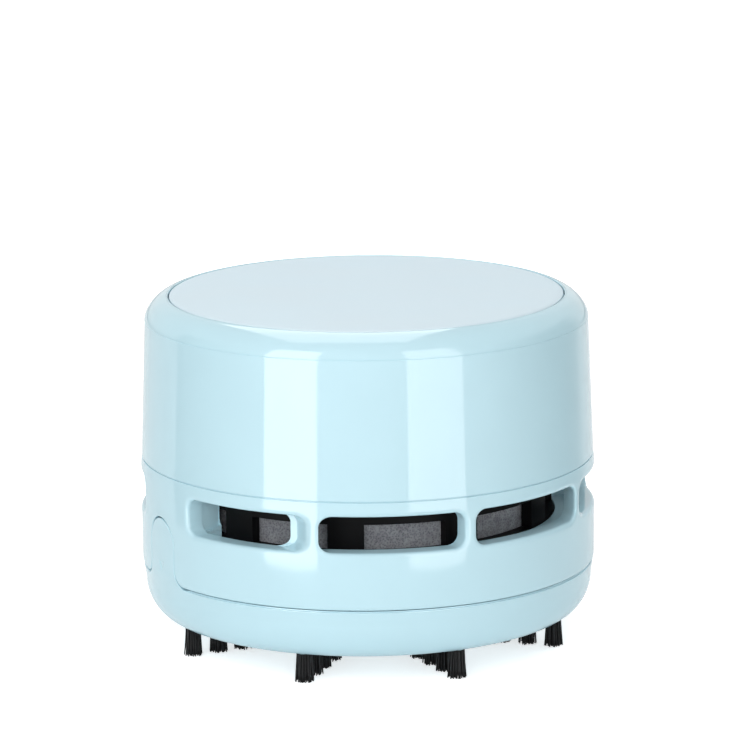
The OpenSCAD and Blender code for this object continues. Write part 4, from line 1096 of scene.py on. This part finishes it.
def bristle_finish():
    """Black nylon: each strand a little different, a soft gloss along it."""
    finish, tree, shader, where = new_finish("black_bristle")
    fine = add(tree, "Mapping", {"Vector": where, "Scale": (6000, 6000, 700)})
    noise = add(tree, "TexNoise", {"Vector": fine.outputs[0], "Scale": 1.0, "Detail": 2.0})
    black = between(tree, noise.outputs["Fac"], (0.003, 0.003, 0.0035), (0.012, 0.012, 0.013))
    tree.links.new(black, shader.inputs["Base Color"])
    rough = add(tree, "MapRange", {"Value": noise.outputs["Fac"], "To Min": 0.4, "To Max": 0.65})
    tree.links.new(rough.outputs[0], shader.inputs["Roughness"])
    shader.inputs["Specular IOR Level"].default_value = 0.35
    bump(tree, shader, noise.outputs["Fac"], 0.5, 0.02)
    return finish


black_bristle = bristle_finish()
strip_points, strip_faces = strip_patch()
for row in range(1, ROWS + 1):
    strands = np.concatenate([tuft_strands(TUFT_OUT - TUFT_PITCH * k) for k in range(TUFTS)])
    c, d = on_circle(np.radians(180 + 360 / ROWS * (row - 1)))
    spin = np.array([[c, d, 0], [-d, c, 0], [0, 0, 1]])
    mesh = raw_mesh("bristles", [(strands.reshape(-1, 3) @ spin, strand_faces(len(strands)))])
    mesh.shade_smooth()
    mesh.materials.append(black_bristle)
    take_place(put(f"bristles_{row}", mesh), f"brush_row_{row}")
    strip = build(f"bristle_strip_{row}", [(strip_points @ spin, strip_faces)], shell_blue)
    take_place(strip, f"brush_row_{row}")

# %% [markdown]
# ## The exhaust foam
# Behind the windows of the black cage stands a ring of open-cell foam that catches the last
# dust. Foam is soft: its faces wave a little and its edges are worn round. The ring is a
# closed section carried round Z, pressed in here and there by a smooth random field that
# repeats after one turn. Its cells are too small for geometry and stay in the finish,
# as a bump and as painted shade in the pits.

# %% Foam ring
FOAM_MID, FOAM_HALF, FOAM_ROUND, FOAM_PRESS = np.array([30.75, 24.45]), np.array([1.05, 4.05]), 0.5, 0.22
FOAM_SIDES, FOAM_TURNS = 56, 240


def smooth_field(rows, columns, rough_rows, rough_columns):
    """Random field from 0 to 1 that repeats both ways: white noise whose fine waves are faded out as a bell curve."""
    noise = np.fft.fft2(rng.normal(size=(rows, columns)))
    down = (np.fft.fftfreq(rows) * rows / rough_rows) ** 2
    across = (np.fft.fftfreq(columns) * columns / rough_columns) ** 2
    field = np.real(np.fft.ifft2(noise * np.exp(-down[:, None] - across[None])))
    return (field - field.min()) / np.ptp(field)


def foam_grid():
    """Rounded rectangle 2.1 by 8.1 mm, corners of 0.5 mm, round Z at radius 30.75; each point is drawn towards the
    section's middle line by up to 0.22 mm times the field."""
    a = np.radians(np.arange(0, 360, 15))
    quadrant = np.sign(on_circle(a + 0.01))
    corners = on_circle(a) * FOAM_ROUND + quadrant * (FOAM_HALF - FOAM_ROUND)
    outline = np.vstack([corners, corners[:1]])
    along = run_of(outline)
    places = np.linspace(0, along[-1], FOAM_SIDES + 1)[:-1]
    section = np.stack([np.interp(places, along, outline[:, k]) for k in (0, 1)], -1)
    field = smooth_field(FOAM_SIDES, FOAM_TURNS, 9, 40) * FOAM_PRESS
    share = section / FOAM_HALF
    pull = np.stack([np.clip(share[:, 0], -1, 1), 0.3 * share[:, 1]], -1)
    r_z = FOAM_MID + section[:, None] - pull[:, None] * field[..., None]
    grid = about_z(r_z[..., 0], np.arange(FOAM_TURNS) * 2 * np.pi / FOAM_TURNS, r_z[..., 1])
    return np.concatenate([grid, grid[:1]])


def make_cells():
    """Open cells: the distance to the nearest of scattered points gives pits, a slow noise gives soot and wear."""
    group, given, out = new_group(
        "open_cells", [("Vector", "Vector", None), ("Cell mm", "Float", 0.5)], [("Height", "Float"), ("Soot", "Float")])
    in_mm = to_mm(group, given)
    pits = add(group, "TexVoronoi", {"Vector": in_mm, "Scale": one_over(group, given, "Cell mm")})
    soot = add(group, "TexNoise", {"Vector": in_mm, "Scale": 0.45, "Detail": 5.0, "Roughness": 0.65})
    return give_out(group, out, Height=pits.outputs["Distance"], Soot=soot.outputs["Fac"])


cells_group = make_cells()


def soft_finish(name, clean, sooty, cell, depth):
    """Foam or felt: pits in the bump, painted shade in the pits, mottled between a clean and a sooty colour."""
    finish, tree, shader, where = new_finish(name)
    body = use_group(tree, cells_group, Vector=where, Cell_mm=cell)
    # Painted shade: the colour falls to 0.45 of itself at the bottom of each pit, where a hollow cell would lie in
    # shade.
    pit_shade = add(tree, "MapRange", {"Value": body.outputs["Height"], "From Max": 0.7, "To Min": 0.45, "To Max": 1.0})
    mottled = add(tree, "MapRange", {"Value": body.outputs["Soot"], "From Min": 0.35, "From Max": 0.65})
    colour = between(tree, mottled.outputs[0], sooty, clean)
    shaded = add(tree, "Mix", {0: 1.0, 6: colour, 7: pit_shade.outputs[0]}, data_type="RGBA", blend_type="MULTIPLY")
    tree.links.new(shaded.outputs[2], shader.inputs["Base Color"])
    shader.inputs["Roughness"].default_value = 0.95
    shader.inputs["Specular IOR Level"].default_value = 0.15
    bump(tree, shader, body.outputs["Height"], 0.8, depth)
    return finish


# The foam's pits get painted shade from soft_finish.
foam_grey = soft_finish("foam_grey", (0.43, 0.435, 0.465), (0.31, 0.31, 0.335), 0.35, 0.1)
foam = build("foam_ring", [patch(foam_grid(), ring=True, flip=True)], foam_grey, sharp=180)
take_place(foam, "exhaust_foam")

# %% [markdown]
# ## The dust filter
# A disc of white non-woven felt lies stretched over the filter frame and keeps crumbs away
# from the fan. It is embossed with small dimples, which a real felt gets from the roller that
# bonds it. Both faces and the rim are one closed surface.

# %% Filter felt
FILTER_R, FILTER_Z0, FILTER_T, FILTER_TURNS = 27.75, 17.12, 1.14, 168
DIMPLE_DEPTH, DIMPLE_PITCH, RIM_PRESS = 0.14, 3.0, 0.28


def felt_grid():
    """Rows from the centre out on top, round the rim and back below. The dimples are 0.14 mm deep, the product of two
    cosine waves 3 mm long. They fade out over 1 mm before the rim, and the felt is pressed thinner there."""
    r = np.linspace(0, FILTER_R - 0.2, 64)[:, None]
    a = np.arange(FILTER_TURNS) * 2 * np.pi / FILTER_TURNS
    wave = 2 * np.pi / DIMPLE_PITCH
    waves = 1 + np.cos(wave * (r * np.cos(a))) * np.cos(wave * (r * np.sin(a)))
    dimple = DIMPLE_DEPTH / 2 * waves * np.clip(FILTER_R - 1.5 - r, 0, 1)
    rim = RIM_PRESS * np.clip(r - FILTER_R + 2.2, 0, 1) ** 2
    top = about_z(r, a, FILTER_Z0 + FILTER_T - dimple - rim)
    edge = about_z(FILTER_R, a, FILTER_Z0 + FILTER_T / 2)
    low = about_z(r, a, FILTER_Z0 + dimple + rim)[::-1]
    return np.concatenate([top, edge[None], low])


# The felt's pits also get painted shade from soft_finish.
felt_white = soft_finish("felt_white", (0.86, 0.86, 0.84), (0.72, 0.71, 0.68), 0.35, 0.08)
felt = build("filter_felt", [patch(felt_grid(), ring=True, flip=True)], felt_white, sharp=180)
take_place(felt, "dust_filter")

# %% [markdown]
# ## Springs and wires
# Springs and hook-up wires are tubes along a path. A tube needs a frame that does not twist,
# so the axes of each ring are those of the ring before, turned only as far as the path turns.
# Springs are bright spring steel with closed ends. The wires are stranded copper in soft
# sheath, bared and soldered at both ends.

# %% Tubes along paths


def tube(path, radius, sides=12, reference=(0.0, 0.0, 1.0)):
    """Closed tube: rings of radius about the path. At its start, across = reference x ahead, or the Y axis where the
    path runs along the reference. From ring to ring across loses what points ahead, so the tube doesn't twist, and
    over = ahead x across."""
    path = np.asarray(path, float)
    ahead = unit(np.gradient(path, axis=0))
    across = np.empty_like(path)
    last = np.cross(reference, ahead[0])
    if np.linalg.norm(last) < 0.1:
        last = np.cross((0.0, 1.0, 0.0), ahead[0])
    for k, d in enumerate(ahead):
        last = across[k] = unit(last - d * (last @ d))
    over = np.cross(ahead, across)
    a = np.arange(sides)[:, None] * 2 * np.pi / sides
    radius = np.broadcast_to(radius, len(path))[:, None, None]
    rings = path[:, None] + radius * (np.cos(a) * across[:, None] + np.sin(a) * over[:, None])
    first, final = (np.repeat(end[:, None], sides, 1) for end in (path[:1], path[-1:]))
    return patch(np.concatenate([first, rings, final]), ring=True)


def helix(mean_r, wire_r, height, turns, per_turn=36, taper=0.0):
    """Spring path about Z: r = mean_r - taper * s, a = 2 pi turns s. The rise is slower at both ends, so that the end
    turns lie flatter: z = wire_r + (height - 2 wire_r) * (0.55 s + 0.45 (3 s^2 - 2 s^3))."""
    s = np.linspace(0, 1, int(per_turn * turns) + 1)
    rise = 0.55 * s + 0.45 * (3 * s ** 2 - 2 * s ** 3)
    return about_z(mean_r - taper * s, 2 * np.pi * turns * s, wire_r + (height - 2 * wire_r) * rise)


def bent(route, most, step):
    """Route whose corners are quadratic Bezier curves that start up to most before them, walked in even steps."""
    route = np.asarray(route, float)
    line = [route[0]]
    for before, corner, after in zip(route[:-2], route[1:-1], route[2:]):
        u, v = before - corner, after - corner
        reach = min(most, 0.48 * np.linalg.norm(u), 0.48 * np.linalg.norm(v))
        t = np.linspace(0, 1, 9)[:, None]
        start, end = corner + unit(u) * reach, corner + unit(v) * reach
        line.extend((1 - t) ** 2 * start + 2 * t * (1 - t) * corner + t ** 2 * end)
    line.append(route[-1])
    line = np.array(line)
    run = run_of(line)
    even = np.linspace(0, run[-1], int(run[-1] / step) + 2)
    return np.stack([np.interp(even, run, line[:, k]) for k in range(3)], -1)


def make_grain():
    """Rolled metal: noise drawn out along one axis gives grain, a slow noise gives tarnish."""
    group, given, out = new_group(
        "rolled_metal", [("Vector", "Vector", None), ("Across mm", "Float", 0.15), ("Along mm", "Float", 6.0)],
        [("Grain", "Float"), ("Tarnish", "Float")])
    in_mm = to_mm(group, given)
    across, along = one_over(group, given, "Across mm"), one_over(group, given, "Along mm")
    scale = add(group, "CombineXYZ", {0: across, 1: along, 2: across})
    drawn = add(group, "VectorMath", {0: in_mm, 1: scale.outputs[0]}, operation="MULTIPLY")
    grain = add(group, "TexNoise", {"Vector": drawn.outputs[0], "Scale": 1.0, "Detail": 3.0})
    tarnish = add(group, "TexNoise", {"Vector": in_mm, "Scale": 0.35, "Detail": 4.0})
    return give_out(group, out, Grain=grain.outputs["Fac"], Tarnish=tarnish.outputs["Fac"])


grain_group = make_grain()


def metal(name, bright, dull, rough, across=0.15, along=6.0, depth=0.004):
    """Metal sheet or wire: colour from bright to dull with the tarnish, roughness with the grain."""
    finish, tree, shader, where = new_finish(name)
    sheet = use_group(tree, grain_group, Vector=where, Across_mm=across, Along_mm=along)
    mask = add(tree, "MapRange", {"Value": sheet.outputs["Tarnish"], "From Min": 0.35, "From Max": 0.7})
    tree.links.new(between(tree, mask.outputs[0], bright, dull), shader.inputs["Base Color"])
    gloss = add(tree, "MapRange", {"Value": sheet.outputs["Grain"], "To Min": rough - 0.08, "To Max": rough + 0.12})
    tree.links.new(gloss.outputs[0], shader.inputs["Roughness"])
    shader.inputs["Metallic"].default_value = 1.0
    bump(tree, shader, sheet.outputs["Grain"], 0.6, depth)
    return finish


spring_steel = metal("spring_steel", (0.62, 0.62, 0.63), (0.42, 0.42, 0.44), 0.25, across=0.4, along=0.4)
solder = metal("solder", (0.72, 0.72, 0.72), (0.55, 0.55, 0.57), 0.3, across=0.5, along=0.5)
print("metal finishes ready")

# %% Springs
COIL_R, COIL_WIRE, COIL_TALL, COIL_TURNS, COIL_Z = 5.48, 0.35, 4.6, 3, 57.5
SMALL_R, SMALL_WIRE, SMALL_TALL, SMALL_TURNS, SMALL_TAPER, SMALL_FOOT = 3.2, 0.28, 2.2, 2, 0.5, 27.4
CELL_Y, CELL_Z = 17.6, 42.5
coil = helix(COIL_R, COIL_WIRE, COIL_TALL, COIL_TURNS) + [0, 0, COIL_Z]
button_spring = build("button_spring_coil", [tube(coil, COIL_WIRE)], spring_steel, sharp=60)
take_place(button_spring, "button_spring")
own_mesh(button_spring)
for number, sign in ((1, 1), (2, -1)):
    coil = helix(SMALL_R, SMALL_WIRE, SMALL_TALL, SMALL_TURNS, taper=SMALL_TAPER)[:, [2, 1, 0]]
    coil[:, 0] = SMALL_FOOT - coil[:, 0]
    coil = (coil + [0, CELL_Y, CELL_Z]) * [sign, sign, 1]
    around = tube(coil, SMALL_WIRE, 10, reference=(1.0, 0.0, 0.0))
    spring = build(f"cell_spring_{number}", [around], spring_steel, sharp=60)
    take_place(spring, f"contact_spring_{number}")

# %% Wires
LANE_Z, LANE_Y, TAIL_X, TAIL_Y, TAIL_Z, TAG_Z, MOTOR_Z = 50.8, 9.25, -27.6, 14.6, 47.55, 51.6, 43.35
SHEATH_R, STRAND_BARE_R, BEAD_UP, BEAD_LONG, BARE, BEND_REACH, WIRE_STEP = 0.54, 0.34, 0.16, 0.25, 0.7, 3.0, 0.3
ROUTES = {
    "wire_positive": ("wire_red", [
        (TAIL_X, TAIL_Y, TAIL_Z), (TAIL_X, TAIL_Y, LANE_Z), (-18, LANE_Y, LANE_Z), (12, LANE_Y, LANE_Z),
        (13.6, LANE_Y, 44.65), (15.2, 3.4, MOTOR_Z), (17.2, 2.4, MOTOR_Z)]),
    "wire_negative": ("wire_black", [
        (TAIL_X, -TAIL_Y, TAIL_Z), (TAIL_X, -TAIL_Y, LANE_Z - 2), (-20, -6, LANE_Z - 2),
        (-15, 4.6, TAG_Z - 1.55), (-11.6, 4.6, TAG_Z - 0.55)]),
    "wire_motor": ("wire_red", [
        (11.6, 4.6, TAG_Z - 0.55), (12.2, 3.4, TAG_Z - 4.55), (15.2, -2.4, MOTOR_Z), (17.2, -2.4, MOTOR_Z)]),
}
sheaths = {"wire_red": plastic("wire_red", (0.42, 0.012, 0.012), 0.38, marks=0.05, depth=0.003, wave=3.0),
           "wire_black": plastic("wire_black", (0.012, 0.012, 0.014), 0.4, marks=0.05, depth=0.003, wave=3.0)}


def wire_patch(route):
    """Sheathed wire, radius 0.54, whose last 0.7 mm at both ends are bare strands in a bead of solder: their radius is
    0.34 + 0.16 exp(-(d / 0.25)^2) at a distance d from the end."""
    path = bent(route, BEND_REACH, WIRE_STEP)
    run = run_of(path)
    from_end = np.minimum(run, run[-1] - run)
    bare = STRAND_BARE_R + BEAD_UP * np.exp(-(from_end / BEAD_LONG) ** 2)
    return tube(path, np.where(from_end < BARE, bare, SHEATH_R))


def face_middles(piece):
    """Middle of every face in mm."""
    return read_all(piece.data.polygons, "center") / MM


for node, (slot_name, route) in ROUTES.items():
    wire = build(node + "_run", [wire_patch(route)], sheaths[slot_name], sharp=50)
    wire.data.materials.append(solder)
    from_ends = [np.linalg.norm(face_middles(wire) - end, axis=1) for end in (route[0], route[-1])]
    soldered = np.minimum(*from_ends) < BARE + 0.05
    wire.data.polygons.foreach_set("material_index", soldered.astype(np.int32))
    take_place(wire, node)

# %% [markdown]
# ## The two cells
# Two AA cells lie along the deck, head to tail. A real cell is a steel can in a shrunk sleeve:
# the sleeve curls over both rims, a white insulating ring and the raised nub close one end,
# and a flat plate with a shallow groove closes the other. It is one turned profile along
# X, with a finish for each zone. The sleeve is plain, without any print.

# %% Cells
CELL = [(0.0, 0.12), (2.6, 0.12), (2.9, 0.0), (4.6, 0.0), (4.9, 0.18), (5.9, 0.18), (6.1, 0.05), (6.75, 0.0),
        (7.02, 0.12), (7.1, 0.4), (7.1, 38.0), (7.1, 38.02), (7.1, 47.9), (7.02, 48.25), (6.7, 48.45), (6.2, 48.45),
        (6.1, 48.3), (5.2, 48.3), (4.2, 48.75), (2.95, 48.95), (2.75, 49.1), (2.7, 50.1), (2.5, 50.35), (1.4, 50.4),
        (0.0, 50.4)]
CELL_MID, CELL_TURNS = 25.2, 64
# Zones along X from the foot: the foot plate up to 0.3 mm, the sleeve, its grey band from 38 mm, the head from 48.1 mm.
BAND_X, FOOT_X, HEAD_X, FOOT_R, RING_R, NUB_R = 38.0, 0.3, 48.1, 6.3, 6.15, 4.8
cell_steel = metal("cell_steel", (0.70, 0.70, 0.70), (0.52, 0.52, 0.53), 0.28, across=0.3, along=0.3)
cell_sleeve = plastic("cell_sleeve", (0.018, 0.019, 0.022), 0.3, depth=0.003, wave=6.0)
cell_band = plastic("cell_band", (0.34, 0.35, 0.37), 0.3, depth=0.003, wave=6.0)
cell_ring = plastic("cell_ring", (0.75, 0.75, 0.73), 0.5)
SLEEVE, BAND, STEEL, RING = 0, 1, 2, 3


def cell_patch():
    """Profile (r, x) carried round X in 64 steps: y = r cos a, z = r sin a."""
    r, x = np.array(CELL).T[..., None]
    y_z_x = about_z(r, np.arange(CELL_TURNS) * 2 * np.pi / CELL_TURNS, x - CELL_MID)
    return patch(y_z_x[..., [2, 0, 1]], ring=True, flip=True)


for number, sign in ((1, -1), (2, 1)):
    points, faces = cell_patch()
    cell_points = points * [sign, sign, 1] + [0, -CELL_Y * sign, CELL_Z]
    cell = build(f"cell_{number}", [(cell_points, faces)], cell_sleeve, sharp=35)
    for finish in (cell_band, cell_steel, cell_ring):
        cell.data.materials.append(finish)
    x, y, z = (face_middles(cell) * [sign, sign, 1] + [CELL_MID, CELL_Y, -CELL_Z]).T
    r, foot, head = np.hypot(y, z), x < FOOT_X, x > HEAD_X
    zone = np.select([foot & (r < FOOT_R), head & (r < NUB_R), head & (r < RING_R), x > BAND_X],
                     [STEEL, STEEL, RING, BAND], SLEEVE)
    cell.data.polygons.foreach_set("material_index", zone.astype(np.int32))
    take_place(cell, f"battery_{number}")

# %% [markdown]
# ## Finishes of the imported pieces
# Frame, fan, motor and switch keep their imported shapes, because they are machined or stamped
# forms that are right as they are. Each gets the finish of its material: black glass-filled
# plastic with a dry sheen, white fan plastic, rolled and plated steel, brass, magnet and board.

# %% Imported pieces
black_plastic = plastic("black_plastic", (0.0035, 0.0035, 0.004), 0.5, spread=0.08, shade=0.2, peel=0.35, depth=0.008)
black_plastic.node_tree.nodes["Principled BSDF"].inputs["Specular IOR Level"].default_value = 0.08
fan_white = plastic("fan_white", (0.70, 0.71, 0.70), 0.38, depth=0.005)
ivory = plastic("end_cap_ivory", (0.66, 0.60, 0.45), 0.42, depth=0.005)
switch_white = plastic("switch_white", (0.74, 0.74, 0.71), 0.36, depth=0.004)
board_green = plastic("board_green", (0.018, 0.11, 0.04), 0.35, peel=0.3, depth=0.006, coat=0.4)
magnet_black = plastic("magnet", (0.035, 0.035, 0.04), 0.6, peel=0.2, depth=0.012)
screw_steel = metal("screw_steel", (0.34, 0.34, 0.36), (0.2, 0.2, 0.22), 0.3, across=0.3, along=0.3)
plated_steel = metal("plated_steel", (0.66, 0.66, 0.66), (0.5, 0.5, 0.52), 0.26)
brass = metal("brass", (0.78, 0.57, 0.25), (0.55, 0.38, 0.16), 0.28)
copper = metal("copper_winding", (0.72, 0.27, 0.11), (0.45, 0.15, 0.07), 0.32, across=0.25, along=0.9, depth=0.03)
PACKED = [
    (black_plastic, "fan_housing", "intake_plate", "filter_frame", "battery_deck"),
    (screw_steel, "housing_screws", "strap_screws", "deck_screws", "board_screws"),
    (plated_steel, "motor_shaft", "motor_can", "motor_strap", "contact_link", "contact_positive",
     "contact_negative", "switch_pins"),
    (fan_white, "impeller"),
    (copper, "armature"),
    (magnet_black, "motor_magnets"),
    (ivory, "motor_end_cap"),
    (brass, "motor_bushes", "motor_terminals"),
    (board_green, "switch_board"),
    (switch_white, "switch_body", "switch_plunger")]
dressed = {node: finish for finish, *nodes in PACKED for node in nodes}
for node, finish in dressed.items():
    for place in frame["nodes"][node].material_slots:
        place.material = finish
left = [n for n, o in frame["nodes"].items() if not o.hide_render and n not in dressed]
print("packed pieces with a new finish:", len(dressed), "without:", left)
